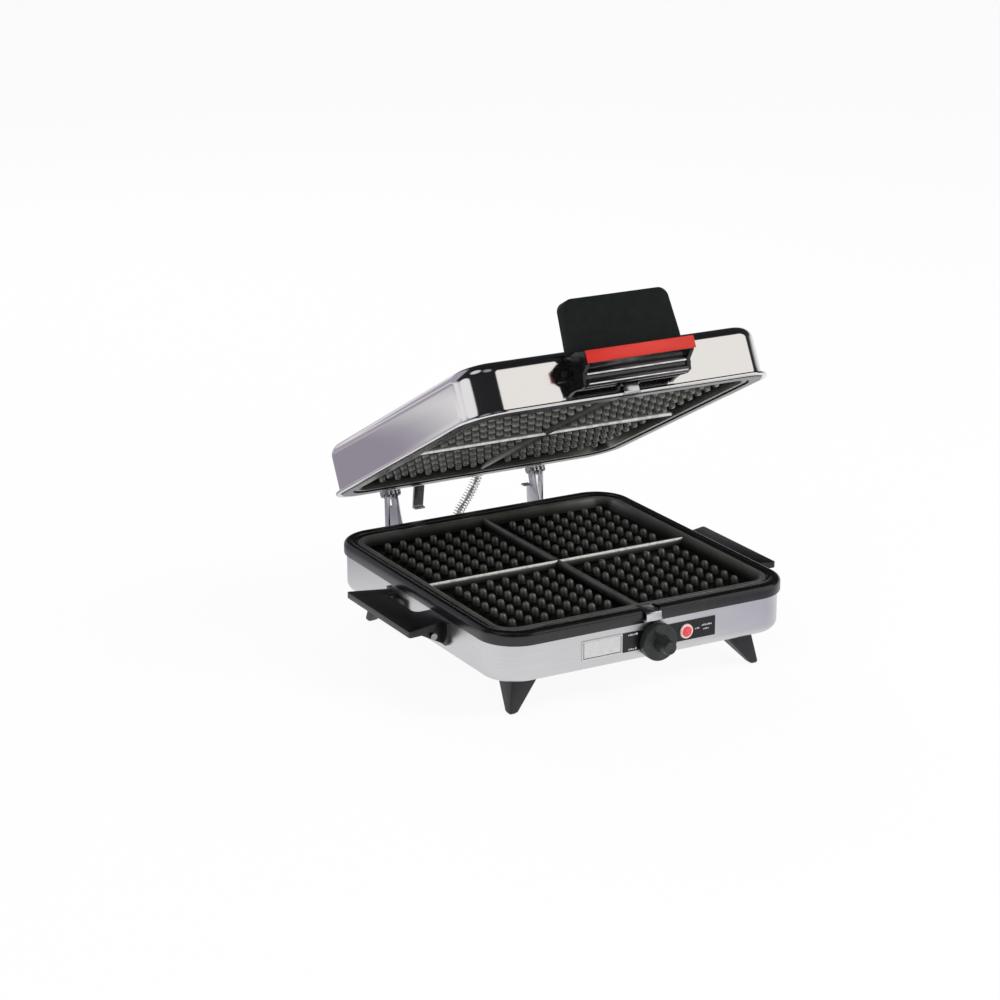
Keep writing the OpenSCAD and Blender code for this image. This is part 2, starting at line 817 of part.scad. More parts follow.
module lid_shell() {
  color("gainsboro") lid_pose() difference() {
    union() {
      translate([0, 0, mate_z + lid_h]) mirror([0, 0, 1]) around(lid_wall_hx, lid_wall_hy, lid_corner_r)
        pan_section(lid_h - 3, lid_top_r, lid_corner_r - 2, sheet_t);
      slab(lid_wall_hx - 20, lid_wall_hy - 20, 6, mate_z + lid_h - sheet_t, mate_z + lid_h);
      around(lid_wall_hx, lid_wall_hy, lid_corner_r) flange_section();
      upper_half() clip_lugs(-lid_wall_hy + 0.4);
    }
    upper_half() {
      clip_cut();
      clip_pin_hole();
    }
  }
}

// Foot of the lid wall in section: a fillet out to a rolled bead
module flange_section() {
  fillet = 2.2;
  translate([flange_out - bead_r + 0.1, mate_z + 0.2 + bead_r]) circle(bead_r);
  translate([-sheet_t, mate_z + 0.7]) square([sheet_t + flange_out - bead_r, 1]);
  difference() {
    translate([-sheet_t, mate_z + 1]) square([sheet_t + fillet, fillet + 1.2]);
    translate([fillet, mate_z + 1.7 + fillet]) circle(fillet);
    translate([0, mate_z + 1.7 + fillet]) square([fillet + 1, 2]);
  }
}

module lid_rim() {
  rim_hx = lid_wall_hx - sheet_t;
  rim_hy = lid_wall_hy - sheet_t;
  color([0.08, 0.08, 0.08]) lid_pose() upper_half() difference() {
    slab(rim_hx, rim_hy, lid_corner_r - sheet_t, ledge_z - 3, rim_top);
    slab(seat_hx, seat_hy, seat_r, ledge_z, rim_top + 1);
    slab(seat_hx - ledge_w, seat_hy - ledge_w, seat_r - ledge_w, ledge_z - 4, rim_top);
    clip_cut();
  }
}

module upper_clip_pin() {
  lid_pose() upper_half() lower_clip_pin();
}

module upper_clip() {
  lid_pose() upper_half() lower_clip();
}

// ---------- lid handle ----------

lid_front = -lid_wall_hy;
bracket_t = 2;
grip_back = lid_front - bracket_t;
plate_t = 10.5;
strip_y = lid_front - 31;
cheek_t = 3.2;

module handle_bracket() {
  notch_w = 2 * (clip_w / 2 + lug_t + 1.4);
  color([0.08, 0.08, 0.08]) lid_pose() {
    difference() {
      translate([-grip_w / 2 - 3, grip_back, mate_z + 9]) cube([grip_w + 6, bracket_t, 26]);
      translate([-notch_w / 2, grip_back - 1, mate_z + 8]) cube([notch_w, bracket_t + 2, 3.4]);
    }
    for (side = [-1, 1]) {
      x0 = side > 0 ? grip_w / 2 + 3 : -grip_w / 2 - 14;
      translate([x0, grip_back, mate_z + 17]) cube([11, bracket_t, 11]);
      along_x(side * (grip_w / 2 + (side < 0 ? cheek_t : 0)), side * (grip_w / 2 + (side < 0 ? 0 : cheek_t)))
        polygon([
          [grip_back + 1, mate_z + 9], [grip_back - 9, mate_z + 8], [grip_back - 15, mate_z + 9.5],
          [grip_back - 17, mate_z + 17], [strip_y + 4, mate_z + 22], [strip_y + 2.4, mate_z + 31.5],
          [grip_back - 14, mate_z + 34.5], [grip_back + 1, mate_z + 35]
        ]);
    }
  }
}

// Hood and ribbed finger face of the grip, open towards the lid so that fingers curl under it
module handle_grip() {
  wall = 3;
  color([0.1, 0.1, 0.1]) lid_pose() along_x(-grip_w / 2, grip_w / 2) {
    polygon([
      [grip_back, mate_z + 35], [grip_back - 14, mate_z + 34.5], [strip_y + 2, mate_z + 32],
      [strip_y + 2, mate_z + 22.6], [strip_y + 5, mate_z + 22.6], [strip_y + 5.5, mate_z + 29],
      [grip_back - 14, mate_z + 31.5], [grip_back, mate_z + 32]
    ]);
    polygon([
      [strip_y + 2.5, mate_z + 22.6], [grip_back - 15.5, mate_z + 19.5], [grip_back - 14.5, mate_z + 8],
      [grip_back - 14.5 + wall, mate_z + 8], [grip_back - 15.5 + wall, mate_z + 21],
      [strip_y + 5.5, mate_z + 25]
    ]);
    for (z = [11, 18.5]) translate([grip_back - 14.8, mate_z + z]) circle(2.6);
  }
}

module handle_plate() {
  low = mate_z + 35;
  high = mate_z + plate_top;
  top_r = 8;
  top_half = plate_w / 2 - 1.8;
  skin = 2.4;
  color([0.1, 0.1, 0.1]) lid_pose() difference() {
    translate([0, grip_back, 0]) along_y(-plate_t, 0) {
      translate([-plate_w / 2, low]) square([plate_w, 6]);
      polygon([
        [-plate_w / 2, low + 5], [plate_w / 2, low + 5], [top_half, high - top_r], [top_half - top_r, high],
        [-top_half + top_r, high], [-top_half, high - top_r]
      ]);
      for (side = [-1, 1]) translate([side * (top_half - top_r), high - top_r]) circle(top_r);
    }
    for (side = [-1, 1])
      translate([side > 0 ? 1 : 1 - top_half + skin - 2, grip_back - plate_t + skin, low + 9])
        cube([top_half - skin, plate_t, high - low - 9 - skin - 3]);
  }
}

module red_strip() {
  color([0.82, 0.16, 0.12]) lid_pose() translate([-grip_w / 2 - cheek_t, strip_y, mate_z + 22.6])
    cube([grip_w + 2 * cheek_t, 2, 9.4]);
}

module lid_screws() {
  color("silver") lid_pose() for (side = [-1, 1])
    rod_y(2.4, grip_back - 1.4, grip_back, side * (grip_w / 2 + 8.5), mate_z + 22.5);
}

// ---------- back of the lid ----------

// Plate that hangs the lid on its pin: the slot lets the lid rise to make room for thick food
module lid_arm(side) {
  low = mate_z + pin_low;
  color("gainsboro") lid_pose() difference() {
    union() {
      along_x(side * hinge_x - arm_t / 2, side * hinge_x + arm_t / 2) {
        translate([pin_y, low]) circle(ear_r);
        translate([pin_y, low + lid_lift]) circle(ear_r);
        translate([pin_y - ear_r, low]) square([2 * ear_r, lid_lift]);
        polygon([
          [lid_wall_hy, mate_z + 7], [lid_wall_hy, mate_z + 30], [pin_y, low + lid_lift + ear_r],
          [pin_y, low], [pin_y - ear_r, low + 4]
        ]);
      }
      translate([side * hinge_x - 7, lid_wall_hy, mate_z + 7]) cube([14, 1.4, 23]);
    }
    along_x(side * hinge_x - 4, side * hinge_x + 4) {
      translate([pin_y, low]) circle(pin_r + pin_play);
      translate([pin_y, low + lid_lift]) circle(pin_r + pin_play);
      translate([pin_y - pin_r - pin_play, low]) square([2 * (pin_r + pin_play), lid_lift]);
    }
  }
}

module lid_arm_left() {
  lid_arm(-1);
}

module lid_arm_right() {
  lid_arm(1);
}

// Bent hook under the rear edge of the lid, left of the middle
module rear_hook() {
  hook_x = -43.5;
  hook_w = 9.2;
  t = 1.5;
  wall = lid_wall_hy;
  edge = lid_edge_hy;
  color([0.3, 0.3, 0.3]) lid_pose() along_x(hook_x - hook_w / 2, hook_x + hook_w / 2)
    polygon([
      [wall, mate_z + 18], [wall, mate_z + 7], [edge + 6.8 - t, mate_z + 5.4], [edge + 19.2, mate_z - 13.2],
      [edge + 16.2, mate_z - 14.8], [edge + 16.8, mate_z - 16.2], [edge + 21.6, mate_z - 13.8],
      [edge + 7.6, mate_z + 6.8], [wall + t + 0.4, mate_z + 8.4], [wall + t, mate_z + 18]
    ]);
}

// Cover over the place where the sprung sleeve enters the lid
module wire_cover() {
  x0 = 3.5;
  w = 18;
  depth = 14;
  z0 = mate_z + 8;
  h = 28;
  t = 1.2;
  color("gainsboro") lid_pose() difference() {
    translate([x0, lid_wall_hy, z0]) cube([w, depth, h]);
    translate([x0 + t, lid_wall_hy - 1, z0 - 1]) cube([w - 2 * t, depth - t + 1, h - t + 1]);
  }
}

// ---------- nodes ----------

place() base_shell();
place() bottom_cover();
place() base_rim();
place() lower_grid();
place() lower_element();
place() lower_reflector();
place() thermostat();
place() terminal_block();
place() foot(-1, -1);  // foot_front_left
place() foot(1, -1);  // foot_front_right
place() foot(-1, 1);  // foot_rear_left
place() foot(1, 1);  // foot_rear_right
place() left_handle();
place() right_handle();
place() handle_screws();
place() name_plate();
place() control_label();
place() lamp_bezel();
place() lamp_lens();
place() hinge_bracket_left();
place() hinge_bracket_right();
place() bracket_rivets();
place() cord_inlet();
place() conduit_gland();
place() wire_conduit();
place() cover_screws();
place() lower_clip_pin();
place() lower_clip();
place() knob();
place() thermostat_shaft();
place() hinge_pin_left();
place() hinge_pin_right();
place() lid_shell();
place() lid_rim();
place() upper_grid();
place() upper_element();
place() upper_reflector();
place() handle_bracket();
place() handle_plate();
place() handle_grip();
place() red_strip();
place() lid_screws();
place() lid_arm_left();
place() lid_arm_right();
place() rear_hook();
place() wire_cover();
place() upper_clip_pin();
place() upper_clip();
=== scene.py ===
# %% [markdown]
# # A family waffle iron
# This lesson dresses the engineering model of a four-quarter waffle iron. The solids
# come in as a fixed frame. Each visible form is then rebuilt with softer edges, real
# sheet thickness and small fittings, and gets a finish made from shader nodes only.
# Lengths are written in millimetres and turned into metres when a mesh is made.

import math

import bmesh
import bpy
from mathutils import Matrix, Vector


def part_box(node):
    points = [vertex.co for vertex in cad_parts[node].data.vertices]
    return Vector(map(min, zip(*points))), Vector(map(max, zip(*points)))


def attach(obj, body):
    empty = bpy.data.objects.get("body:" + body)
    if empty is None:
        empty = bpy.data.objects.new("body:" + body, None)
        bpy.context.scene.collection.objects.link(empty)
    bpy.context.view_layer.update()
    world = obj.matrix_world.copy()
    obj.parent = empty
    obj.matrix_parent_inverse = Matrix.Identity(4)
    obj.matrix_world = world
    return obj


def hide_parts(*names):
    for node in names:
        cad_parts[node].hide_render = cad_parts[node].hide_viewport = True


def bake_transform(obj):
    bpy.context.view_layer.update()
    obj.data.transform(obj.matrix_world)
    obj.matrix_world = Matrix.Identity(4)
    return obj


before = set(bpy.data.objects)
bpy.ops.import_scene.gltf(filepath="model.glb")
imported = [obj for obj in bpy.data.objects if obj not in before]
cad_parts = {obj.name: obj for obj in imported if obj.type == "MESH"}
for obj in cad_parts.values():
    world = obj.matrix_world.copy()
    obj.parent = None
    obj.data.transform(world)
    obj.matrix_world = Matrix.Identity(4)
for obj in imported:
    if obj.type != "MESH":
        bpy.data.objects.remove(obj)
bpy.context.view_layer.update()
MM = 0.001
shell_low, shell_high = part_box("base_shell")
FRAME_Y = (shell_low.y + shell_high.y) / 2 / MM
print("nodes", len(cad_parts), "housing centre y", round(FRAME_Y, 2), "mm")

# %% [markdown]
# ## Camera
# The viewer stands in front, to the left and a little above, with a long lens, so the
# sides of the iron stay almost parallel. The place of the camera is the point it looks
# at plus a distance along the line of sight.

# %% Camera
AZIMUTH, ELEVATION = math.radians(-29.45), math.radians(17.74)
DISTANCE, LENS, SENSOR = 2.16824, 101.904, 36
look_at = Vector((-0.0521, FRAME_Y * MM, 0.12477))
back = Vector((
    math.sin(AZIMUTH) * math.cos(ELEVATION),
    -math.cos(AZIMUTH) * math.cos(ELEVATION),
    math.sin(ELEVATION),
))
camera_data = bpy.data.cameras.new("camera")
camera_data.lens = LENS
camera_data.sensor_width = SENSOR
camera = bpy.data.objects.new("camera", camera_data)
camera.location = look_at + back * DISTANCE
camera.rotation_euler = back.to_track_quat("Z", "Y").to_euler()
bpy.context.scene.collection.objects.link(camera)
bpy.context.scene.camera = camera
bpy.context.scene.view_settings.view_transform = "Standard"
print("camera at", [round(v, 3) for v in camera.location])

# %% [markdown]
# ## Colour and node helpers
# A maker names colours as hex values from a swatch, which are in sRGB. Blender's
# shaders want linear light, so one function converts them. A second small function
# adds any shader node with its settings and links, so that a material reads as a list.


# %% Colour and node helpers
def linear(hex_colour):
    channels = [int(hex_colour[i : i + 2], 16) / 255 for i in (1, 3, 5)]
    return tuple(c / 12.92 if c <= 0.04045 else ((c + 0.055) / 1.055) ** 2.4 for c in channels) + (1.0,)


def add(tree, kind, inputs=(), **settings):
    """A node with its settings. Each input is a value, or another node's output to link from."""
    made = tree.nodes.new("ShaderNode" + kind)
    for key, value in settings.items():
        setattr(made, key, value)
    for key, value in dict(inputs).items():
        if isinstance(value, bpy.types.NodeSocket):
            tree.links.new(value, made.inputs[key])
        else:
            made.inputs[key].default_value = value
    return made


def ramp(tree, fac, stops):
    """A colour ramp; stops are (place, hex colour)."""
    made = add(tree, "ValToRGB", {"Fac": fac})
    marks = made.color_ramp.elements
    while len(marks) < len(stops):
        marks.new(1.0)
    for mark, (place, colour) in zip(marks, stops):
        mark.position = place
        mark.color = linear(colour)
    return made.outputs["Color"]


def finish(name, colour, metallic, roughness, **sockets):
    """A new material with one Principled shader; returns the material, its tree and that shader."""
    material = bpy.data.materials.new(name)
    material.use_nodes = True
    tree = material.node_tree
    shader = tree.nodes["Principled BSDF"]
    shader.inputs["Base Color"].default_value = linear(colour)
    shader.inputs["Metallic"].default_value = metallic
    shader.inputs["Roughness"].default_value = roughness
    for key, value in sockets.items():
        shader.inputs[key.replace("_", " ")].default_value = value
    material.diffuse_color = linear(colour)
    return material, tree, shader


def stretched(tree, sizes_mm):
    """Object coordinates divided by a real size, one for all directions or a tuple of three."""
    coords = add(tree, "TexCoord")
    each = sizes_mm if isinstance(sizes_mm, tuple) else (sizes_mm,) * 3
    scale = [1 / (s * MM) for s in each]
    return add(tree, "Mapping", {"Vector": coords.outputs["Object"], "Scale": scale}).outputs["Vector"]


def noise(tree, sizes_mm, detail):
    """Soft noise of a real size."""
    fields = {"Vector": stretched(tree, sizes_mm), "Scale": 1.0, "Detail": detail}
    return add(tree, "TexNoise", fields).outputs["Fac"]


def cells(tree, size_mm):
    """Distance to the nearest of many points that are about size_mm apart."""
    fields = {"Vector": stretched(tree, size_mm), "Scale": 1.0}
    return add(tree, "TexVoronoi", fields).outputs["Distance"]


def blend_colours(tree, factor, a, b, way="MIX"):
    """Sockets 6 and 7 of the Mix node are its two colours, and output 2 is the mixed one."""
    mix = add(tree, "Mix", data_type="RGBA", blend_type=way)
    for index, value in ((0, factor), (6, a), (7, b)):
        if isinstance(value, bpy.types.NodeSocket):
            tree.links.new(value, mix.inputs[index])
        else:
            mix.inputs[index].default_value = value
    return mix.outputs[2]


def between(tree, value, start, end, ease="LINEAR"):
    """0 where the value is at start, 1 where it is at end."""
    limits = {"Value": value, "From Min": start, "From Max": end}
    return add(tree, "MapRange", limits, interpolation_type=ease).outputs["Result"]


def colour_by(tree, shader, fac, stops):
    tree.links.new(ramp(tree, fac, stops), shader.inputs["Base Color"])


def roughness_by(tree, shader, value, low, high):
    """Moves a value from 0..1 to low..high and makes it the roughness."""
    moved = add(tree, "MapRange", {"Value": value, "To Min": low, "To Max": high}).outputs["Result"]
    tree.links.new(moved, shader.inputs["Roughness"])


def relief(tree, shader, height, depth_mm, strength):
    """Fine relief of a real depth, as bump."""
    bump = add(tree, "Bump", {"Height": height, "Distance": depth_mm * MM, "Strength": strength})
    tree.links.new(bump.outputs["Normal"], shader.inputs["Normal"])


print("swatch #808080 is", round(linear("#808080")[0], 3), "in linear light")

# %% [markdown]
# ## Satin stainless steel
# The housing is stainless sheet, drawn into a pan and then brushed with a belt that
# runs along the walls. The grit leaves lines about 0.1 mm apart. That is finer than the
# picture can show, so they are drawn 0.7 mm apart and faint. The lines stretch the
# reflections upwards, and a broad, slow change of roughness keeps the wall from looking
# like plastic.

# %% Satin stainless steel
satin_steel, tree, shader = finish("brushed stainless sheet", "#d8d7d8", 1.0, 0.34)
grain = noise(tree, (30, 30, 0.7), 3)
cloud = noise(tree, (70, 70, 30), 1)
CLOUD_SHARE = 0.45  # sockets 2 and 3 of a float Mix are its two values
mixed = add(tree, "Mix", {0: CLOUD_SHARE, 2: grain, 3: cloud}, data_type="FLOAT").outputs[0]
roughness_by(tree, shader, mixed, 0.24, 0.42)
colour_by(tree, shader, mixed, [(0.3, "#d0cfd1"), (0.7, "#dddcdd")])
relief(tree, shader, grain, 0.02, 0.1)
print(satin_steel.name, "has", len(tree.nodes), "nodes")

# %% [markdown]
# ## Polished chrome plate
# The lid is pressed steel, buffed and chrome plated. Plate keeps the slight waves of the
# pressing, which bend the reflections, and daily wiping leaves a faint haze. So the
# relief is long and very shallow, and the roughness is low with a little variation.

# %% Polished chrome plate
chrome, tree, shader = finish("polished chrome plate", "#e8e6e5", 1.0, 0.07)
haze = noise(tree, (45, 45, 25), 4)
roughness_by(tree, shader, haze, 0.05, 0.13)
relief(tree, shader, noise(tree, (60, 60, 40), 1), 0.10, 0.25)
print(chrome.name, "has", len(tree.nodes), "nodes")

# %% [markdown]
# ## Bright strip and spring wire
# Brackets, arms and clips are stamped from plated strip. They are tumbled before
# plating, so they are bright but softer than the lid, with faint random scuffs.

# %% Bright strip and spring wire
bright_steel, tree, shader = finish("tumbled plated strip", "#cfd0d2", 1.0, 0.2)
scuffs = noise(tree, 1.4, 3)
roughness_by(tree, shader, scuffs, 0.15, 0.26)
colour_by(tree, shader, scuffs, [(0.35, "#cbccce"), (0.65, "#d8d9db")])
relief(tree, shader, scuffs, 0.02, 0.08)

screw_steel, tree, shader = finish("turned screw steel", "#b9b8b6", 1.0, 0.28)
rings = noise(tree, 0.9, 3)
roughness_by(tree, shader, rings, 0.2, 0.38)
colour_by(tree, shader, rings, [(0.3, "#a9a8a5"), (0.7, "#cac9c7")])
print(screw_steel.name, "has", len(tree.nodes), "nodes")

# %% [markdown]
# ## Phenolic mouldings
# Handles, feet, knob and rim are black phenolic, the heatproof moulded plastic of
# kitchenware. The mould gives it a satin skin with a fine orange-peel of about 1 mm,
# and the wood flour in the resin shows as very slight mottling. IOR is that of the
# resin, near 1.6. The plate behind the grip comes from a blasted mould, so it hardly
# shines, while hands have polished the grip.


# %% Phenolic mouldings
def phenolic(name, dark, light, low, high, peel_mm, gloss=0.5):
    """gloss scales the mirror part of the surface; 0.5 is a plain resin skin."""
    material, tree, shader = finish(name, dark, 0.0, 0.35, IOR=1.6, Specular_IOR_Level=gloss)
    mottle = noise(tree, 6, 5)
    peel = noise(tree, peel_mm, 2)
    colour_by(tree, shader, mottle, [(0.35, dark), (0.7, light)])
    roughness_by(tree, shader, mottle, low, high)
    relief(tree, shader, peel, 0.03, 0.3)
    return material


handle_phenolic = phenolic("satin black phenolic", "#0c0c0d", "#161617", 0.3, 0.42, 1.1)
plate_phenolic = phenolic("blasted black phenolic", "#151918", "#191e1d", 0.45, 0.58, 0.8, 0.08)
grip_phenolic = phenolic("hand-polished black phenolic", "#0d0c0e", "#171618", 0.1, 0.18, 2.2, 0.6)
knob_phenolic = phenolic("grey-black phenolic", "#212524", "#2e3332", 0.3, 0.42, 0.9, 0.35)
rim_phenolic = phenolic("polished black phenolic", "#0a0a0b", "#131314", 0.2, 0.3, 1.6)
foot_phenolic = phenolic("matt black phenolic", "#101113", "#1a1b1e", 0.42, 0.55, 0.9)

# Painted highlight: a pale finish for thin rods along the grip ribs. It stands in for the bright lines a
# light draws on their crests.
painted_rib_highlight, tree, shader = finish("pale painted highlight on grip ribs", "#dad8d8", 0.0, 0.25, IOR=1.6)
highlight_streaks = noise(tree, (9, 2, 2), 3)
colour_by(tree, shader, highlight_streaks, [(0.3, "#b4b1b1"), (0.55, "#e9e7e7")])

enamel, tree, shader = finish("black baked enamel", "#0b0b0c", 0.0, 0.25, IOR=1.52)
flow = noise(tree, 4, 3)
roughness_by(tree, shader, flow, 0.18, 0.34)
colour_by(tree, shader, flow, [(0.3, "#09090a"), (0.7, "#151516")])
relief(tree, shader, flow, 0.02, 0.3)
print("materials so far", len(bpy.data.materials))

# %% [markdown]
# ## Non-stick coating
# The grids are cast aluminium, blasted and sprayed with a grey-black non-stick coat.
# The blasted metal gives a fine sand of about 0.6 mm. The coat is filled with aluminium
# flake, so it shines like a dark metal and catches light on the sides of the pegs. Peg
# tips are worn lighter by wiping, and the floor between the pegs is painted near black as
# shade, with baked oil staining the coat in patches. A height inside the casting tells tip
# from floor. Knives and forks wear the coat off the ridge that runs from side to side, and
# its crest shows bare aluminium.


# %% Non-stick coating
def nonstick(name, floor_z, tip_z, toward_up):
    """toward_up is the direction, in metres of the row frame, that the pegs point in."""
    material, tree, shader = finish(name, "#5c5d5a", 0.8, 0.36, IOR=1.45)
    coords = add(tree, "TexCoord").outputs["Object"]
    height = add(tree, "VectorMath", {0: coords, 1: toward_up}, operation="DOT_PRODUCT").outputs["Value"]
    tip_wear_floor_shade = between(tree, height, floor_z, tip_z)
    sand = noise(tree, 0.6, 3)
    stain = noise(tree, 28, 4)
    fleck = cells(tree, 0.22)
    # Painted shade: by height, the colour runs from near black on the floor between the pegs to pale on the
    # worn tips.
    base = ramp(tree, tip_wear_floor_shade, [(0.0, "#181918"), (0.45, "#4c4e4b"), (0.8, "#7f817d"), (1.0, "#a3a5a1")])
    baked = ramp(tree, stain, [(0.35, "#ffffff"), (0.75, "#d2cec2")])
    tinted = blend_colours(tree, 1.0, base, baked, "MULTIPLY")
    flecks = ramp(tree, fleck, [(0.0, "#4a4a4a"), (0.09, "#000000")])
    tree.links.new(blend_colours(tree, 0.5, tinted, flecks, "ADD"), shader.inputs["Base Color"])
    roughness_by(tree, shader, stain, 0.27, 0.42)
    relief(tree, shader, sand, 0.05, 0.35)
    return material


bare_edge, tree, shader = finish("bare cast aluminium", "#e2e2df", 1.0, 0.24)
wear = noise(tree, 5, 4)
roughness_by(tree, shader, wear, 0.16, 0.36)
colour_by(tree, shader, wear, [(0.35, "#bdbdb9"), (0.55, "#e6e6e3")])
print(bare_edge.name, "has", len(tree.nodes), "nodes")


# %% [markdown]
# ## Other finishes
# The heater sheath is steel that has been red hot: straw, brown and blue-grey oxide.
# The reflectors are aluminised sheet. The strip on the handle is moulded in a plain red
# resin. The labels are screen-printed film, the bare plate is etched aluminium, and the
# lamp is a red lens in a pale ring. The block and switch are unglazed ceramic, and the
# leads in the spring wear a white glass-fibre sleeve.

# %% Other finishes
heater_steel, tree, shader = finish("heat-tinted steel sheath", "#5d5148", 1.0, 0.45)
tint = noise(tree, (18, 40, 18), 3)
colour_by(tree, shader, tint, [(0.3, "#4a4a50"), (0.5, "#6a5646"), (0.7, "#7d7468")])
roughness_by(tree, shader, tint, 0.38, 0.6)

aluminised, tree, shader = finish("aluminised sheet", "#b9bbbd", 1.0, 0.3)
spangle = cells(tree, 1.4)
colour_by(tree, shader, spangle, [(0.1, "#a8abae"), (0.8, "#c6c8c9")])
roughness_by(tree, shader, spangle, 0.25, 0.42)

red_resin, tree, shader = finish("red moulded resin", "#c22c22", 0.0, 0.3, IOR=1.5, Specular_IOR_Level=0.3)
swirl = noise(tree, (35, 8, 8), 2)
colour_by(tree, shader, swirl, [(0.3, "#bd2a20"), (0.7, "#c73227")])
relief(tree, shader, noise(tree, 2, 2), 0.02, 0.25)

label_film, tree, shader = finish("screen-printed black film", "#0c0c0e", 0.0, 0.33, IOR=1.5)
film = noise(tree, 1.2, 2)
roughness_by(tree, shader, film, 0.28, 0.4)
relief(tree, shader, film, 0.01, 0.3)

ink, tree, shader = finish("pale printing ink", "#d9dadb", 0.0, 0.5, IOR=1.5)
colour_by(tree, shader, noise(tree, 0.8, 2), [(0.3, "#c6c8c9"), (0.6, "#e2e3e4")])

etched, tree, shader = finish("etched aluminium plate", "#e2e2e2", 1.0, 0.36)
bloom = noise(tree, 3, 3)
colour_by(tree, shader, bloom, [(0.3, "#dcdcdc"), (0.7, "#e8e8e8")])
relief(tree, shader, bloom, 0.01, 0.15)

lamp_red, tree, shader = finish("red lamp lens", "#d6202b", 0.0, 0.12, IOR=1.49)
shader.inputs["Emission Color"].default_value = linear("#e0303a")
shader.inputs["Emission Strength"].default_value = 0.25
facets = cells(tree, 0.32)
colour_by(tree, shader, facets, [(0.1, "#ec7a80"), (0.7, "#bf2431")])
relief(tree, shader, facets, 0.2, 0.5)

lamp_ring, tree, shader = finish("pale moulded ring", "#f2dcd6", 0.0, 0.35, IOR=1.5)
ring_tone = noise(tree, 2, 2)
colour_by(tree, shader, ring_tone, [(0.3, "#eccfc9"), (0.7, "#f7e6e1")])

ceramic, tree, shader = finish("unglazed ceramic", "#cfc7b4", 0.0, 0.8)
body_tone = noise(tree, 3, 4)
colour_by(tree, shader, body_tone, [(0.3, "#c2b9a4"), (0.7, "#d9d2c2")])

glass_sleeve, tree, shader = finish("braided glass-fibre sleeve", "#f4f2ee", 0.0, 0.75)
braid = cells(tree, 0.16)
colour_by(tree, shader, braid, [(0.1, "#f7f6f2"), (0.8, "#e4e1da")])
relief(tree, shader, braid, 0.1, 0.6)
print("materials", len(bpy.data.materials))

# %% [markdown]
# ## Mesh helpers
# Most of the iron is a rounded rectangle pushed through a section: the pan, the rims
# and the lid. So the main helper lofts between rounded rectangles, each given by its
# half width, half depth, corner radius and height. Each has the same number of points,
# which keeps the faces square and the reflections smooth. The lid is drawn shut and
# level, and one matrix then leans it back to where its pins hold it.

# %% Mesh helpers
LID_TILT = math.radians(28)
LID_LIFT = 19.35
PIN_Y, PIN_Z = 153.0, 90.85
WELD, SOLID_WELD = 1e-7, 2e-6  # points nearer than this, in metres, become one
SHARPEST = 0.01
in_base = Matrix.Translation((0, FRAME_Y * MM, 0))
in_lid = (
    in_base
    @ Matrix.Translation((0, PIN_Y * MM, PIN_Z * MM))
    @ Matrix.Rotation(-LID_TILT, 4, "X")
    @ Matrix.Translation((0, -PIN_Y * MM, (LID_LIFT - PIN_Z) * MM))
)


def piece(name, verts, faces, material, body, matrix=in_base, slot=None, replaces=(), sharp=35):
    """Makes a mesh from points in millimetres, moves it into the row frame and hands it to a body."""
    mesh = bpy.data.meshes.new(name)
    mesh.from_pydata([tuple(c * MM for c in v) for v in verts], [], faces)
    shape = bmesh.new()
    shape.from_mesh(mesh)
    bmesh.ops.remove_doubles(shape, verts=shape.verts, dist=WELD)
    bmesh.ops.recalc_face_normals(shape, faces=shape.faces)
    shape.to_mesh(mesh)
    shape.free()
    mesh.transform(matrix)
    return settle(name, mesh, material, body, replaces, sharp)


def settle(name, mesh, material, body, replaces=(), sharp=35):
    mesh.materials.clear()
    mesh.materials.append(material)
    mesh.shade_smooth()
    mesh.set_sharp_from_angle(angle=math.radians(sharp))
    made = bpy.data.objects.new(name, mesh)
    bpy.context.scene.collection.objects.link(made)
    if body:
        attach(made, body)
    if replaces:
        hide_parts(*replaces)
    return made


def outline(half_x, half_y, radius, steps):
    """Points of a rounded rectangle, anticlockwise from the middle of the right side."""
    points = []
    for sx, sy, start in ((1, 1, 0), (-1, 1, 90), (-1, -1, 180), (1, -1, 270)):
        for i in range(steps + 1):
            a = math.radians(start + 90 * i / steps)
            points.append((
                sx * (half_x - radius) + radius * math.cos(a),
                sy * (half_y - radius) + radius * math.sin(a),
            ))
    return points


def loft(rings, steps, close=False, cap_first=False, cap_last=False, centre=(0, 0)):
    """Verts and faces of a skin through rounded rectangles (half_x, half_y, radius, z)."""
    verts, faces = [], []
    for half_x, half_y, radius, z in rings:
        around = outline(half_x, half_y, max(radius, SHARPEST), steps)
        verts += [(x + centre[0], y + centre[1], z) for x, y in around]
    count = 4 * (steps + 1)
    last = len(rings) if close else len(rings) - 1
    for r in range(last):
        a, b = r * count, ((r + 1) % len(rings)) * count
        for i in range(count):
            j = (i + 1) % count
            faces.append((a + i, a + j, b + j, b + i))
    if cap_first:
        faces.append(tuple(range(count - 1, -1, -1)))
    if cap_last:
        faces.append(tuple(range((len(rings) - 1) * count, len(rings) * count)))
    return verts, faces


def merge(*parts):
    verts, faces = [], []
    for more_verts, more_faces in parts:
        offset = len(verts)
        verts += more_verts
        faces += [tuple(i + offset for i in f) for f in more_faces]
    return verts, faces


def arc(cx, cz, radius, start, end, steps):
    """Points of an arc in a section, angles in degrees."""
    return [
        (
            cx + radius * math.cos(math.radians(start + (end - start) * i / steps)),
            cz + radius * math.sin(math.radians(start + (end - start) * i / steps)),
        )
        for i in range(steps + 1)
    ]


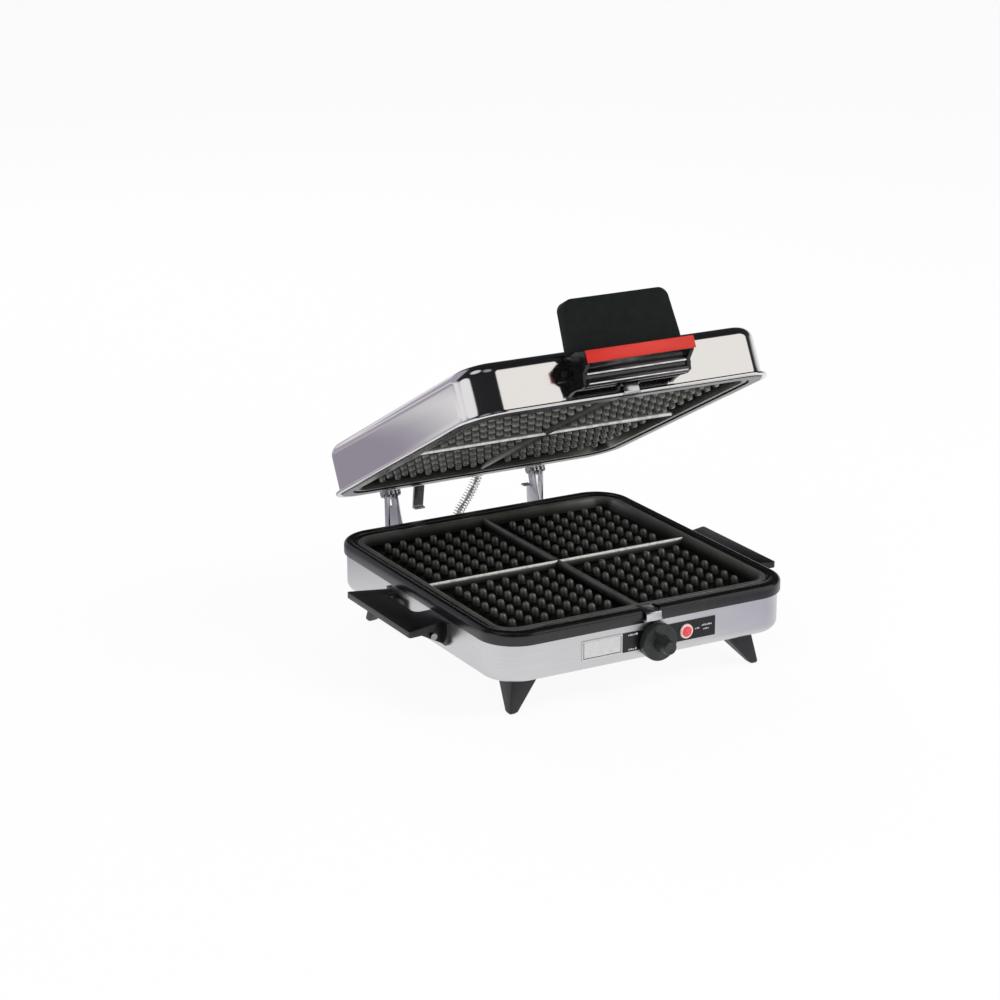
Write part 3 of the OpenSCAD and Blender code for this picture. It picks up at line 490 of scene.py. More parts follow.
def softened(name, node, width_mm, material, body, segments=2, bevel_over=28):
    """A copy of a solid whose edges are rounded as a mould or a tumbler would leave them."""
    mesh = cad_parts[node].data.copy()
    shape = bmesh.new()
    shape.from_mesh(mesh)
    bmesh.ops.remove_doubles(shape, verts=shape.verts, dist=SOLID_WELD)
    bmesh.ops.dissolve_limit(shape, angle_limit=math.radians(1), verts=shape.verts, edges=shape.edges)
    edges = [
        e for e in shape.edges if len(e.link_faces) == 2 and e.calc_face_angle(0) > math.radians(bevel_over)
    ]
    bmesh.ops.bevel(
        shape,
        geom=edges,
        offset=width_mm * MM,
        segments=segments,
        profile=0.5,
        affect="EDGES",
        clamp_overlap=True,
    )
    bmesh.ops.triangulate(shape, faces=[f for f in shape.faces if len(f.verts) > 4])
    shape.to_mesh(mesh)
    shape.free()
    return settle(name, mesh, material, body, (node,))


def dress(node, material):
    """Gives a solid that needs no new form its finish."""
    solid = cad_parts[node]
    solid.data.materials.clear()
    solid.data.materials.append(material)


print("the lid leans back", round(math.degrees(LID_TILT)), "degrees")

# %% [markdown]
# ## Housing
# The housing is a drawn pan: upright walls, one rolled lower edge of 7 mm and a floor
# that carries the vented cover. It could be a box with a bevel, but lofting the section
# gives the roll its true radius and lets the sheet have its real 0.8 mm thickness.

# %% Housing
HX, HY, CORNER = 128.0, 134.0, 28.0
FOOT_H, STEEL_H, RIM_H = 29.6, 30.0, 10.6
STEEL_TOP = FOOT_H + STEEL_H
RIM_TOP = STEEL_TOP + RIM_H
SHEET = 0.8
PAN_ROLL, PAN_FLOOR, PAN_LIP = 7.0, 14.0, 6.0  # roll radius, and how far floor and top lip reach in
HOLD = 8.0  # a line of points this far below the top keeps the wall flat


def skin(section, half_x, half_y, radius):
    """Turns a section of (outwards, height) points into rounded rectangles round an outline."""
    return [(half_x + out, half_y + out, radius + out, z) for out, z in section]


outer = [(-PAN_FLOOR, FOOT_H)] + arc(-PAN_ROLL, FOOT_H + PAN_ROLL, PAN_ROLL, -90, 0, 8)
outer += [(0, STEEL_TOP - HOLD), (0, STEEL_TOP)]
inner = [(-PAN_LIP, STEEL_TOP), (-PAN_LIP, STEEL_TOP - SHEET), (-SHEET, STEEL_TOP - SHEET)]
inner += [(-SHEET, STEEL_TOP - HOLD)]
inner += arc(-PAN_ROLL, FOOT_H + PAN_ROLL, PAN_ROLL - SHEET, 0, -90, 8) + [(-PAN_FLOOR, FOOT_H + SHEET)]
verts, faces = loft(skin(outer + inner, HX, HY, CORNER), 16, close=True)
piece(
    "housing_pan", verts, faces, satin_steel, "base", slot="satin_steel", replaces=("base_shell",), sharp=50
)
dress("bottom_cover", satin_steel)
print("housing", len(verts), "points")

# %% [markdown]
# ## Rims
# A black moulded band covers the edge of the steel and carries the grid in a seat. Its
# outer edge is a full round, and a shallow step inside it catches drips. Its outline
# changes from the wide housing to the slightly narrower grid seat, so each line of the
# section gets its own rounded rectangle.

# %% Rims
SEAT_X, SEAT_Y, SEAT_R = 121.0, 124.0, 20.0
SEAT_DEPTH, LEDGE = 7.0, 4.5  # depth of the grid's seat, and how far its ledge reaches in
OVERHANG, ROLL = 2.3, 3.8
foot = [(-3, STEEL_TOP), (OVERHANG - 0.9, STEEL_TOP), (OVERHANG - 0.3, STEEL_TOP + 0.3)]
rim = skin(foot, HX, HY, CORNER)
rim += skin([(OVERHANG, STEEL_TOP + 1), (OVERHANG, RIM_TOP - ROLL - 0.6)], HX, HY, CORNER)
rim += skin(arc(OVERHANG - ROLL, RIM_TOP - ROLL, ROLL, 0, 90, 7), HX, HY, CORNER)
step = [(3.7, RIM_TOP), (3.4, RIM_TOP - 0.2), (3.2, RIM_TOP - 1.0)]
step += [(0.5, RIM_TOP - 1.0), (0, RIM_TOP - 1.5)]
seat = [(0, RIM_TOP - SEAT_DEPTH), (-LEDGE, RIM_TOP - SEAT_DEPTH), (-LEDGE, STEEL_TOP)]
rim += skin(step + seat, SEAT_X, SEAT_Y, SEAT_R)
verts, faces = loft(rim, 14, close=True)
NOTCH_W, NOTCH_DEEP, NOTCH_OVER = 15.5, 2.6, 3.0  # the clip crosses the front of each rim here
CLIP_NOTCH = ((-NOTCH_W / 2, -150, RIM_TOP - NOTCH_DEEP), (NOTCH_W / 2, -120, RIM_TOP + NOTCH_OVER))


def cut_notch(target, low, high, matrix):
    """Cuts a box, given by two corners in millimetres, out of a mesh."""
    box = bpy.data.meshes.new("notch")
    shape = bmesh.new()
    bmesh.ops.create_cube(shape, size=1)
    size = [(h - l) * MM for l, h in zip(low, high)]
    middle = [(h + l) / 2 * MM for l, h in zip(low, high)]
    shape.transform(matrix @ Matrix.Translation(middle) @ Matrix.Diagonal((*size, 1)))
    bmesh.ops.recalc_face_normals(shape, faces=shape.faces)
    shape.to_mesh(box)
    shape.free()
    cutter = bpy.data.objects.new("notch", box)
    bpy.context.scene.collection.objects.link(cutter)
    cut = target.modifiers.new("notch", "BOOLEAN")
    cut.object = cutter
    cut.operation = "DIFFERENCE"
    cut.solver = "MANIFOLD"
    apply_modifiers(target)
    bpy.data.objects.remove(cutter)


def apply_modifiers(target):
    graph = bpy.context.evaluated_depsgraph_get()
    done = bpy.data.meshes.new_from_object(target.evaluated_get(graph))
    target.modifiers.clear()
    target.data = done


base_rim = piece(
    "base_rim_band", verts, faces, rim_phenolic, "base", slot="black_rim", replaces=("base_rim",)
)
cut_notch(base_rim, *CLIP_NOTCH, in_base)
print("rim outer width", 2 * (HX + OVERHANG), "mm")

# %% [markdown]
# ## Grids
# Each grid is a casting with four fields of seven by seven pegs. Cast pegs have a
# draft, a rounded tip and a small fillet at the root, and that is what makes them
# glint. A cube per peg would look like a toy, so each peg is a stack of squares with
# wide round corners. Two low ridges part the quarters, and a sloped border closes the
# field. The worn crest of the ridge is a piece of its own, a hair proud of the coat.

# %% Grids
GRID_X, GRID_Y, GRID_R = 120.5, 123.5, 19.5
LIP_Z = RIM_TOP - 1
FLOOR_Z = LIP_Z - 8.2
PEG_H, PEG_ROOT, PEG_TIP, PITCH = 6.8, 6.6, 4.2, 13.7
BORDER, RIDGE_HALF, PEGS = 9.0, 2.5, 7  # seven pegs each way in each quarter
FIELD_X, FIELD_Y = GRID_X - BORDER, GRID_Y - BORDER


def peg(x, y):
    """A drafted peg; a level is (width, corner radius, height over the floor)."""
    levels = [
        (PEG_ROOT + 1.6, 2.4, 0.0), (PEG_ROOT + 0.4, 2.0, 0.35), (PEG_ROOT - 0.2, 1.9, 1.1),
        (PEG_TIP + 0.5, 1.7, PEG_H - 1.6), (PEG_TIP, 1.6, PEG_H - 0.8), (PEG_TIP - 0.8, 1.3, PEG_H - 0.25),
        (PEG_TIP - 2.2, 0.8, PEG_H),
    ]
    rings = [(w / 2, w / 2, corner, FLOOR_Z + z) for w, corner, z in levels]
    return loft(rings, 3, cap_last=True, centre=(x, y))


RIDGE = [(3.4, 0), (2.6, 0.4), (1.5, 5.6), (0.8, 6.7), (0, 7.0)]
CREST = [(1.75, 4.8), (1.56, 5.62), (0.84, 6.76), (0, 7.06)]


def ridge(half_section, length, along_x):
    """A ridge over the floor, its ends sunk in the sloped border, from half of its section."""
    section = [(-s, z) for s, z in half_section] + half_section[-2::-1]
    verts = []
    for end in (-length, length):
        verts += [(end, s, FLOOR_Z + z) if along_x else (s, end, FLOOR_Z + z) for s, z in section]
    n = len(section)
    faces = [(i, i + 1, n + i + 1, n + i) for i in range(n - 1)] + [tuple(range(n)), tuple(range(n, 2 * n))]
    return verts, faces


def casting():
    """A grid; a level of its body is (inset from the outline, corner radius, height)."""
    levels = [
        (4.7, 14.8, FLOOR_Z - 3.5), (4.7, 14.8, RIM_TOP - SEAT_DEPTH),
        (0, GRID_R, RIM_TOP - SEAT_DEPTH), (0, GRID_R, LIP_Z - 0.9),
        (0.3, GRID_R, LIP_Z - 0.25), (0.9, GRID_R - 0.6, LIP_Z),
        (3.7, 14.8, LIP_Z), (4.6, 13.8, LIP_Z - 0.5),
        (BORDER - 0.8, 9, FLOOR_Z + 1.0), (BORDER + 0.2, 8, FLOOR_Z + 0.2), (BORDER + 1.5, 7, FLOOR_Z),
    ]
    body = [(GRID_X - inset, GRID_Y - inset, corner, z) for inset, corner, z in levels]
    parts = [loft(body, 8, cap_first=True, cap_last=True)]
    rows = [
        [side * (RIDGE_HALF + half) / 2 + (i - PEGS // 2) * PITCH for side in (-1, 1) for i in range(PEGS)]
        for half in (FIELD_X, FIELD_Y)
    ]
    parts += [peg(x, y) for x in rows[0] for y in rows[1]]
    parts += [ridge(RIDGE, FIELD_X + RIDGE_HALF, True), ridge(RIDGE, FIELD_Y + RIDGE_HALF, False)]
    return merge(*parts)


HALF_GAP = 0.3  # half of the gap between the shut rims
mirror_z = Matrix.Translation((0, 0, 2 * (RIM_TOP + HALF_GAP) * MM)) @ Matrix.Diagonal((1, 1, -1, 1))
verts, faces = casting()
up = (0.0, 0.0, 1.0)
lower_coat = nonstick("grey-black non-stick coat", FLOOR_Z * MM, (FLOOR_Z + PEG_H) * MM, up)
lower_grid = piece(
    "lower_grid_casting", verts, faces, lower_coat, "base", slot="grid_coating", replaces=("lower_grid",)
)
cut_notch(lower_grid, *CLIP_NOTCH, in_base)
lid_down = in_lid.to_3x3() @ Vector((0, 0, -1))
floor_point = in_lid @ mirror_z @ Vector((0, 0, FLOOR_Z * MM))
tip_point = in_lid @ mirror_z @ Vector((0, 0, (FLOOR_Z + PEG_H) * MM))
floor_level, tip_level = floor_point.dot(lid_down), tip_point.dot(lid_down)
upper_coat = nonstick("grey-black non-stick coat, upper", floor_level, tip_level, lid_down)
in_upper = in_lid @ mirror_z
upper_grid = piece(
    "upper_grid_casting", verts, faces, upper_coat, "lid", in_upper, "grid_coating", ("upper_grid",)
)
cut_notch(upper_grid, *CLIP_NOTCH, in_upper)
crest = ridge(CREST, FIELD_X + RIDGE_HALF + 1, True)
piece("lower_ridge_crest", *crest, bare_edge, "base", slot="grid_coating")
piece("upper_ridge_crest", *crest, bare_edge, "lid", in_upper, "grid_coating")
print("casting", len(verts), "points, peg pitch", PITCH, "mm")

# %% [markdown]
# ## Lid
# The lid is a deeper pressing of the same kind. Its foot turns out in a small fillet to
# a rolled bead, its wall is upright and its top edge is a 10 mm roll. The top is crowned
# by under a millimetre, because a dead flat pressing would drum and dent, and the crown
# keeps the chrome from reflecting like a sheet of glass.

# %% Lid
MATE_Z = RIM_TOP + 0.6
LID_X, LID_Y, LID_R, LID_H, FLANGE = HX + 1.2, HY + 1.5, 26.0, 41.0, 3.5
ROLL_R, BEAD_R, FILLET_R = 10.0, 1.5, 2.2


def lid_section():
    foot = [(-SHEET, 0.75), (1.6, 0.7)]
    bead = arc(FLANGE - BEAD_R + 0.1, 0.2 + BEAD_R, BEAD_R, -135, 120, 10)
    fillet = arc(FILLET_R, 1.75 + FILLET_R, FILLET_R, -100, -180, 6)
    wall = [(0, 8), (0, 20), (0, LID_H - ROLL_R)]
    roll = arc(-ROLL_R, LID_H - ROLL_R, ROLL_R, 0, 86, 12)
    return foot + bead + fillet + wall + roll


CROWN = 0.8
rings = skin([(o, MATE_Z + z) for o, z in lid_section()], LID_X, LID_Y, LID_R)
for inset, share in ((18, 0.25), (26, 0.45), (45, 0.7), (75, 0.9), (110, 0.99)):
    crown_z = MATE_Z + LID_H - 0.1 + CROWN * share
    rings.append((LID_X - inset, LID_Y - inset, max(LID_R - inset, 6), crown_z))
verts, faces = loft(rings, 20, cap_last=True)
lid_skin = piece("lid_pressing", verts, faces, chrome, "lid", in_lid, "chrome", ("lid_shell",), sharp=60)
thickness = lid_skin.modifiers.new("sheet", "SOLIDIFY")
thickness.thickness = SHEET * MM
thickness.offset = -1
apply_modifiers(lid_skin)

LID_RIM_H, RIM_EDGE = 10, 0.6
inside = (LID_X - SHEET, LID_Y - SHEET, LID_R - SHEET)
seat_outline = (SEAT_X, SEAT_Y, SEAT_R)
rim = skin([(0, RIM_TOP - LID_RIM_H), (0, RIM_TOP - RIM_EDGE), (-RIM_EDGE, RIM_TOP)], *inside)
seat = [(RIM_EDGE, RIM_TOP), (0, RIM_TOP - RIM_EDGE), (0, RIM_TOP - SEAT_DEPTH)]
rim += skin(seat + [(-LEDGE, RIM_TOP - SEAT_DEPTH), (-LEDGE, RIM_TOP - LID_RIM_H)], *seat_outline)
verts, faces = loft(rim, 14, close=True)
lid_rim = piece("lid_rim_band", verts, faces, rim_phenolic, "lid", in_upper, "black_rim", ("lid_rim",))
for target in (lid_rim, lid_skin):
    cut_notch(target, *CLIP_NOTCH, in_upper)
print("lid flange", 2 * (LID_X + FLANGE), "x", 2 * (LID_Y + FLANGE), "mm")

# %% [markdown]
# ## Lid handle
# The handle is four mouldings and a pressing: a standing plate that keeps the knuckles
# off the hot lid, a ribbed grip, a red strip along its front lip and a black bracket
# with two screwed ears. Taking the solids and rounding their edges keeps every fit, so
# only the edge radius has to be chosen: large on the hand parts, small on the pressing.
# A pale painted highlight runs along the crest of each of the two ribs of the grip, and each
# is a thin rod let into its rib.

# %% Lid handle
softened("handle_plate_moulding", "handle_plate", 1.4, plate_phenolic, "lid", 3)
softened("ribbed_grip", "handle_grip", 0.5, grip_phenolic, "lid", 2, bevel_over=35)
BRACKET, RIB_OUT = 2.0, 14.8  # the bracket's sheet, and how far the ribs stand off it
RIB_R, RIB_Y, RIB_TURN = 2.6, -LID_Y - BRACKET - RIB_OUT, math.radians(-35)
# RIB_HALF is half the length of each painted highlight rod.
RIB_HALF, SUNK = 42.4, 0.15  # half length of a worn line, and how deep its middle lies in the rib


def rod_along_x(half_length, y, z, radius, sides=12):
    verts = []
    for x in (-half_length, half_length):
        for k in range(sides):
            turn = 2 * math.pi * k / sides
            verts.append((x, y + radius * math.cos(turn), z + radius * math.sin(turn)))
    faces = [(k, (k + 1) % sides, sides + (k + 1) % sides, sides + k) for k in range(sides)]
    return verts, faces + [tuple(range(sides)), tuple(range(sides, 2 * sides))]


# Painted highlight: two pale rods along the rib crests stand in for the bright lines of light on them.
for name, rib_z, radius in (("upper", 18.2, 0.62), ("lower", 10.9, 0.42)):
    reach = RIB_R - SUNK
    place = (RIB_Y - reach * math.cos(RIB_TURN), MATE_Z + rib_z + reach * math.sin(RIB_TURN))
    rod = rod_along_x(RIB_HALF, *place, radius)
    piece(f"painted_highlight_rib_{name}", *rod, painted_rib_highlight, "lid", in_lid, "black_phenolic")
softened("handle_bracket_pressing", "handle_bracket", 0.4, enamel, "lid", 2)
softened("red_strip_moulding", "red_strip", 0.5, red_resin, "lid", 3)
print("painted highlight strips", 2 * RIB_HALF, "mm long")

# %% [markdown]
# ## Side handles, feet and knob
# These are phenolic too. The loops and feet are lifted by hot hands and slid over a
# table, so their edges are generous. The knob's edges are crisp to give fingers a hold.

# %% Side handles, feet and knob
for side in ("left", "right"):
    softened(f"{side}_loop", f"{side}_handle", 0.9, handle_phenolic, "base", 3)
    for end in ("front", "rear"):
        name, node = f"wedge_foot_{end}_{side}", f"foot_{end}_{side}"
        softened(name, node, 1.1, foot_phenolic, "base", 3)
softened("knob_moulding", "knob", 0.35, knob_phenolic, "knob", 2)
print("meshes of foot phenolic", foot_phenolic.users)

# %% [markdown]
# ## Hinges and clips
# Brackets, arms and hooks are stamped strip. A stamped edge has a small roll on one
# side and a burr on the other, so a rounding of 0.25 mm is enough to catch a light. The
# spring of the leads follows the lid's tilt but not its slide, so the hood over the lead
# entry sinks past it by up to 19 mm. Two slots, behind and at one corner, make most of the
# room for that. With the lid right down, the spring still cuts into their edges a little.

# %% Hinges and clips
for side in ("left", "right"):
    softened(f"hinge_ears_{side}", f"hinge_bracket_{side}", 0.25, bright_steel, "base")
    softened(f"slotted_arm_{side}", f"lid_arm_{side}", 0.25, bright_steel, "lid")
    dress(f"hinge_pin_{side}", screw_steel)
softened("bent_hook", "rear_hook", 0.25, bright_steel, "lid")
lead_hood = softened("lead_cover", "wire_cover", 0.8, bright_steel, "lid", 3)
HOOD_Z = MATE_Z + 8
SLOT_FRONT, SLOT_BACK, SLOT_FOOT = LID_Y + 4, LID_Y + 18, HOOD_Z - 2
for left, right, slot_h in ((7.2, 17.8, 26), (-1, 12.5, 12.4)):
    cut_notch(lead_hood, (left, SLOT_FRONT, SLOT_FOOT), (right, SLOT_BACK, HOOD_Z + slot_h), in_lid)
softened("base_grid_clip", "lower_clip", 0.2, bright_steel, "base_clip")
softened("lid_grid_clip", "upper_clip", 0.2, bright_steel, "lid_clip")
for node in ("lower_clip_pin", "upper_clip_pin", "thermostat_shaft"):
    dress(node, screw_steel)
print("meshes of bright strip", bright_steel.users)

# %% [markdown]
# ## Heaters, reflectors and inner fittings
# These sit behind the grids and under the cover. They show when a grid is lifted out,
# so they carry real finishes but need no new forms.

# %% Heaters, reflectors and inner fittings
for half in ("lower", "upper"):
    dress(f"{half}_element", heater_steel)
    dress(f"{half}_reflector", aluminised)
for node in ("thermostat", "terminal_block"):
    dress(node, ceramic)
softened("cord_sleeve", "cord_inlet", 0.5, handle_phenolic, "base")
softened("conduit_nut", "conduit_gland", 0.3, bright_steel, "base")

for node, material, slot in (
    ("handle_screws", screw_steel, "fasteners"),
    ("lid_screws", screw_steel, "fasteners"),
    ("cover_screws", screw_steel, "fasteners"),
    ("bracket_rivets", screw_steel, "fasteners"),
    ("name_plate", etched, "plate_sheet"),
    ("control_label", label_film, "label_film"),
    ("lamp_bezel", lamp_ring, "lamp_ring"),
    ("lamp_lens", lamp_red, "lamp_red"),
):
    dress(node, material)
print("meshes of screw steel", screw_steel.users)

# %% [markdown]
# ## Printing and plate line
# The scale is screen-printed in pale ink a few hundredths of a millimetre thick: a row
# of ticks and a diamond at each end of the knob's travel, and ticks beside the lamp. The
# bare plate has one thin dark line inside its border. They are thin solids and not a
# picture, so their edges stay sharp from near.

# %% Printing and plate line
LABEL_FACE = -HY - 0.5
INK_OUT, INK_SUNK = 0.06, 0.02  # the ink stands off the wall and starts just inside it


def flat_shape(points):
    """A thin shape on the front wall from its (x, z) points."""
    n = len(points)
    verts = [(x, y, z) for y in (LABEL_FACE - INK_OUT, LABEL_FACE + INK_SUNK) for x, z in points]
    faces = [tuple(range(n)), tuple(range(n, 2 * n))]
    faces += [(i, (i + 1) % n, n + (i + 1) % n, n + i) for i in range(n)]
    return verts, faces


def bar(x, z, width, height):
    return flat_shape([(x, z), (x + width, z), (x + width, z + height), (x, z + height)])


def ticks(x, z, count, height, gap=1.35, width=0.75):
    return [bar(x + i * gap, z, width, height * (1 if i % 3 else 0.7)) for i in range(count)]


def diamond(x, z, reach=1.0):
    return [flat_shape([(x - reach, z), (x, z - reach), (x + reach, z), (x, z + reach)])]


marks = ticks(-19, 51.2, 5, 1.3) + diamond(-11.6, 51.9)
marks += ticks(-19, 39.8, 4, 1.3) + diamond(-12.4, 40.5)
marks += ticks(40.2, 45.9, 3, 1.2) + ticks(46, 47.6, 7, 1.3) + ticks(47.4, 44.6, 4, 1.0)
piece("scale_printing", *merge(*marks), ink, "base", slot="label_film")
PLATE_LEFT, PLATE_LOW, PLATE_W, PLATE_H = -57.6, 39.9, 32.1, 12.8
line = [bar(PLATE_LEFT, PLATE_LOW, PLATE_W, 0.4), bar(PLATE_LEFT, PLATE_LOW + PLATE_H, PLATE_W, 0.25)]
line += [bar(PLATE_LEFT, PLATE_LOW, 0.45, PLATE_H), bar(PLATE_LEFT + PLATE_W, PLATE_LOW, 0.25, PLATE_H)]
piece("plate_line", *merge(*line), label_film, "base", slot="plate_sheet")
print("printed marks", len(marks))

# %% [markdown]
# ## Spring conduit
# The leads of the upper heater cross the hinge inside an open spring, 8.7 mm wide and
# wound from 0.7 mm wire. It must bend when the lid tilts, and a spring is the cheap way
# to stop the leads from kinking. Its middle line is a smooth curve through a few points,
# and the wire winds round that line, closer at the lid end where it is squeezed.

# %% Spring conduit
ROUTE = [
    (-12, 139.9, 44.9), (-12, 143, 45), (-11.6, 147, 47.6), (-10, 150.5, 54), (-7, 151, 63),
    (-2.5, 149.5, 72), (3.5, 148, 82), (9, 147.5, 93), (12, 147.8, 101.5),
    (12.4, 149, 105), (12.5, 150.3, 108.2),
]


def smooth_path(points, step):
    """Points about one step apart on a smooth curve through the route."""
    knots = [Vector(p) for p in points]
    knots = [2 * knots[0] - knots[1]] + knots + [2 * knots[-1] - knots[-2]]
    path = []
    for a, b, c, d in zip(knots, knots[1:], knots[2:], knots[3:]):
        count = max(1, round((c - b).length / step))
        for t in (i / count for i in range(count)):
            curve = 2 * b + (c - a) * t + (2 * a - 5 * b + 4 * c - d) * t**2
            curve += (3 * b - a - 3 * c + d) * t**3
            path.append(0.5 * curve)
    return path + [knots[-2]]


def across(path):
    """Two directions across the path at each point, carried along it without twist."""
    side, pairs = Vector((1, 0, 0)), []
    for i in range(len(path)):
        ahead = (path[min(i + 1, len(path) - 1)] - path[max(i - 1, 0)]).normalized()
        side = (side - side.dot(ahead) * ahead).normalized()
        pairs.append((side.copy(), ahead.cross(side)))
    return pairs


def round_tube(path, radius, sides=7):
    verts = []
    for point, (u, v) in zip(path, across(path)):
        for k in range(sides):
            turn = 2 * math.pi * k / sides
            verts.append(tuple(point + radius * (math.cos(turn) * u + math.sin(turn) * v)))
    faces = [tuple(range(sides)), tuple(range(len(verts) - sides, len(verts)))]
    for start in range(0, len(verts) - sides, sides):
        for k in range(sides):
            j = (k + 1) % sides
            faces.append((start + k, start + j, start + sides + j, start + sides + k))
    return verts, faces


STEP, COIL_R, WIRE_R = 0.18, 4.0, 0.36
OPEN_PITCH, PITCH_LOSS, SQUEEZED_SHARE = 2.4, 0.9, 0.2  # the last fifth is wound closer
LEAD_R, LEAD_OFF, LEAD_STRIDE, LEAD_TWIST = 0.72, 0.8, 8, 5
spine = smooth_path(ROUTE, STEP)
coil, winding = [], 0.0
for i, (point, (u, v)) in enumerate(zip(spine, across(spine))):
    coil.append(point + COIL_R * (math.cos(winding) * u + math.sin(winding) * v))
    squeezed = max(0, i / len(spine) - (1 - SQUEEZED_SHARE)) / SQUEEZED_SHARE
    pitch = OPEN_PITCH - PITCH_LOSS * squeezed
    winding += 2 * math.pi * STEP / pitch
leads = []
for phase in (0, math.pi):
    strand = []
    centre_line = spine[::LEAD_STRIDE]
    for i, (point, (u, v)) in enumerate(zip(centre_line, across(centre_line))):
        turn = phase + i * STEP * LEAD_STRIDE / LEAD_TWIST
        strand.append(point + LEAD_OFF * (math.cos(turn) * u + math.sin(turn) * v))
    leads.append(round_tube(strand, LEAD_R, 10))
wire = round_tube(coil, WIRE_R)
spring = piece(
    "spring_conduit", *wire, bright_steel, None, slot="bright_steel", replaces=("wire_conduit",)
)
sleeved_leads = piece("sleeved_leads", *merge(*leads), glass_sleeve, None, slot="bright_steel")
for soft in (spring, sleeved_leads):
    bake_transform(soft)
print("spring turns", round(winding / (2 * math.pi), 1))

# %% [markdown]
# ## Floor
# The iron stands on a wide pale floor. Three lilac cards lie on it and tint the walls
# that mirror them. They could be meshes, but as part of the floor's material they can be
# kept for reflections alone. The eye sees a white floor with a faint shadow.

# %% Floor
REACH = 6
corners = [(-REACH, -REACH, 0), (REACH, -REACH, 0), (REACH, REACH, 0), (-REACH, REACH, 0)]
floor_mesh = bpy.data.meshes.new("floor")
floor_mesh.from_pydata(corners, [], [(0, 1, 2, 3)])
floor = bpy.data.objects.new("floor", floor_mesh)
bpy.context.scene.collection.objects.link(floor)
paper = bpy.data.materials.new("pale studio floor")
paper.use_nodes = True
tree = paper.node_tree
tree.nodes.clear()
rays = add(tree, "LightPath").outputs
shadow = add(tree, "BsdfDiffuse", {"Color": linear("#f4f4f4")}).outputs[0]
white = add(tree, "Emission", {"Color": (1, 1, 1, 1), "Strength": 1.0}).outputs[0]
spot = add(tree, "NewGeometry").outputs["Position"]


def card(under, centre, inner, outer, colour):
    """A round card with a soft edge; inner and outer are its radii in metres."""
    away = add(tree, "VectorMath", {0: spot, 1: (*centre, 0)}, operation="DISTANCE").outputs["Value"]
    share = between(tree, away, outer, inner, "SMOOTHSTEP")
    return blend_colours(tree, share, under, linear(colour))


tone = linear("#f6f6f7")
for centre, inner, outer, colour in (
    ((-0.5, 1.9), 0.9, 1.35, "#9d96a7"),
    ((-0.2, 0.55), 0.18, 0.42, "#847c90"),
    ((0.26, -0.27), 0.04, 0.24, "#b3b0c4"),
):
    tone = card(tone, centre, inner, outer, colour)
mirror_tone = add(tree, "Emission", {"Color": tone, "Strength": 1.0}).outputs[0]
WHITE_SHARE, MIRRORED_SHARE = 0.92, 0.85
seen = add(tree, "MixShader", {0: WHITE_SHARE, 1: shadow, 2: white}).outputs[0]
mirrored = add(tree, "MixShader", {0: MIRRORED_SHARE, 1: shadow, 2: mirror_tone}).outputs[0]
by_camera = add(tree, "MixShader", {0: rays["Is Camera Ray"], 1: shadow, 2: seen}).outputs[0]
by_gloss = add(tree, "MixShader", {0: rays["Is Glossy Ray"], 1: by_camera, 2: mirrored}).outputs[0]
add(tree, "OutputMaterial", {"Surface": by_gloss})
floor_mesh.materials.append(paper)
print("floor", 2 * REACH, "m square")

# %% [markdown]
# ## Studio seen in reflections
# Polished metal shows what surrounds it, so the world holds a plain studio: one large
# soft box to the front right, a pale wall to the left and one behind, two small boxes
# overhead, and dark curtains between them, which draw the dark edges of the chrome. Only
# reflections see it. Matt surfaces get a plain even light, so that each colour renders
# about as written, and the eye sees white.

# %% Studio seen in reflections
world = bpy.data.worlds.new("studio")
bpy.context.scene.world = world
world.use_nodes = True
tree = world.node_tree
tree.nodes.clear()
direction = add(tree, "TexCoord").outputs["Generated"]


def panel(centre, inner, outer):
    """1 inside a round soft box about a direction, 0 outside; inner and outer are cosines."""
    middle = Vector(centre).normalized()
    nearness = add(tree, "VectorMath", {0: direction, 1: middle}, operation="DOT_PRODUCT").outputs["Value"]
    return between(tree, nearness, outer, inner, "SMOOTHSTEP")


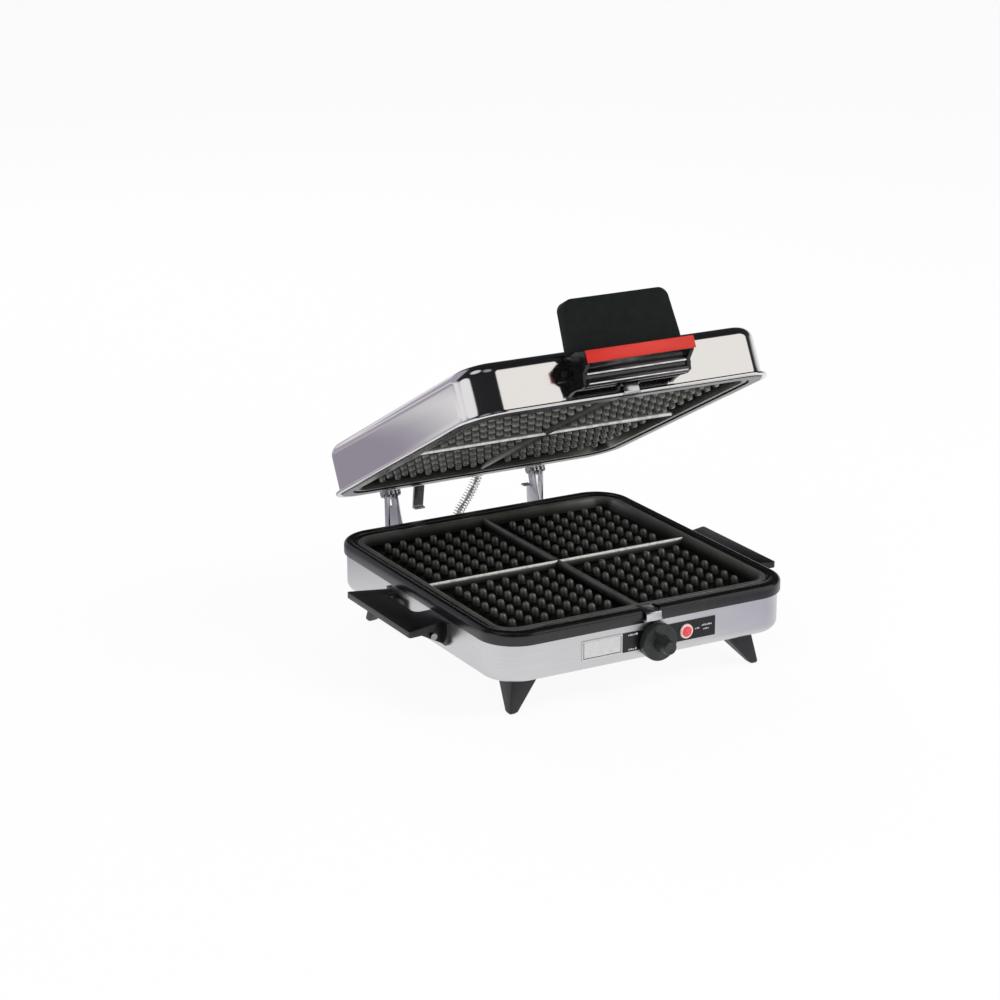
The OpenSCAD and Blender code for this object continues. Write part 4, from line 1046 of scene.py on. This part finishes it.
height = add(tree, "SeparateXYZ", {"Vector": direction}).outputs["Z"]
FOOT_OF_CURTAIN, TOP_OF_CURTAIN = -0.3, 1.0
rise = between(tree, height, FOOT_OF_CURTAIN, TOP_OF_CURTAIN)
studio = ramp(tree, rise, [(0.0, "#e6e6ea"), (0.23, "#e6e6ea"), (0.36, "#2c2c30"), (1.0, "#1b1b1d")])
for centre, inner, outer, colour in (
    ((0.72, -0.55, 0.45), 0.915, 0.885, "#fbf9f6"),
    ((-0.43, 0.05, 0.9), 0.985, 0.955, "#dcdde0"),
    ((0.0, -0.33, 0.95), 0.99, 0.965, "#97979b"),
    ((-0.35, 0.9, 0.25), 0.93, 0.86, "#aca7b6"),
    ((-0.93, -0.03, 0.05), 0.95, 0.91, "#f4f4f6"),
):
    studio = blend_colours(tree, panel(centre, inner, outer), studio, linear(colour))
rays = add(tree, "LightPath").outputs
EVEN_LIGHT = 0.55
even = add(tree, "Background", {"Color": (1, 1, 1, 1), "Strength": EVEN_LIGHT}).outputs[0]
glossy = add(tree, "Background", {"Color": studio, "Strength": 1.0}).outputs[0]
white = add(tree, "Background", {"Color": (1, 1, 1, 1), "Strength": 1.0}).outputs[0]
lit = add(tree, "MixShader", {0: rays["Is Glossy Ray"], 1: even, 2: glossy}).outputs[0]
shown = add(tree, "MixShader", {0: rays["Is Camera Ray"], 1: lit, 2: white}).outputs[0]
add(tree, "OutputWorld", {"Surface": shown})
print("studio nodes", len(tree.nodes))

# %% [markdown]
# ## Lamps
# Three soft lamps give the matt parts their shape. Reflections don't see them, because
# the studio's boxes already stand in for them there. All of them point at the middle of
# the iron, and the strongest stands to the front right.

# %% Lamps
AIM = Vector((0, 0, 0.12))


def soft_lamp(name, place, size, power):
    data = bpy.data.lights.new(name, "AREA")
    data.shape = "SQUARE"
    data.size = size
    data.energy = power
    lamp = bpy.data.objects.new(name, data)
    lamp.location = place
    lamp.rotation_euler = (Vector(place) - AIM).to_track_quat("Z", "Y").to_euler()
    bpy.context.scene.collection.objects.link(lamp)
    lamp.visible_glossy = False


soft_lamp("key", (1.1, -1.3, 1.5), 0.9, 23)
soft_lamp("fill", (-1.6, -0.9, 1.0), 1.2, 9)
soft_lamp("rear", (0.2, 1.6, 1.4), 1.0, 10)
print("lamps", len(bpy.data.lights))
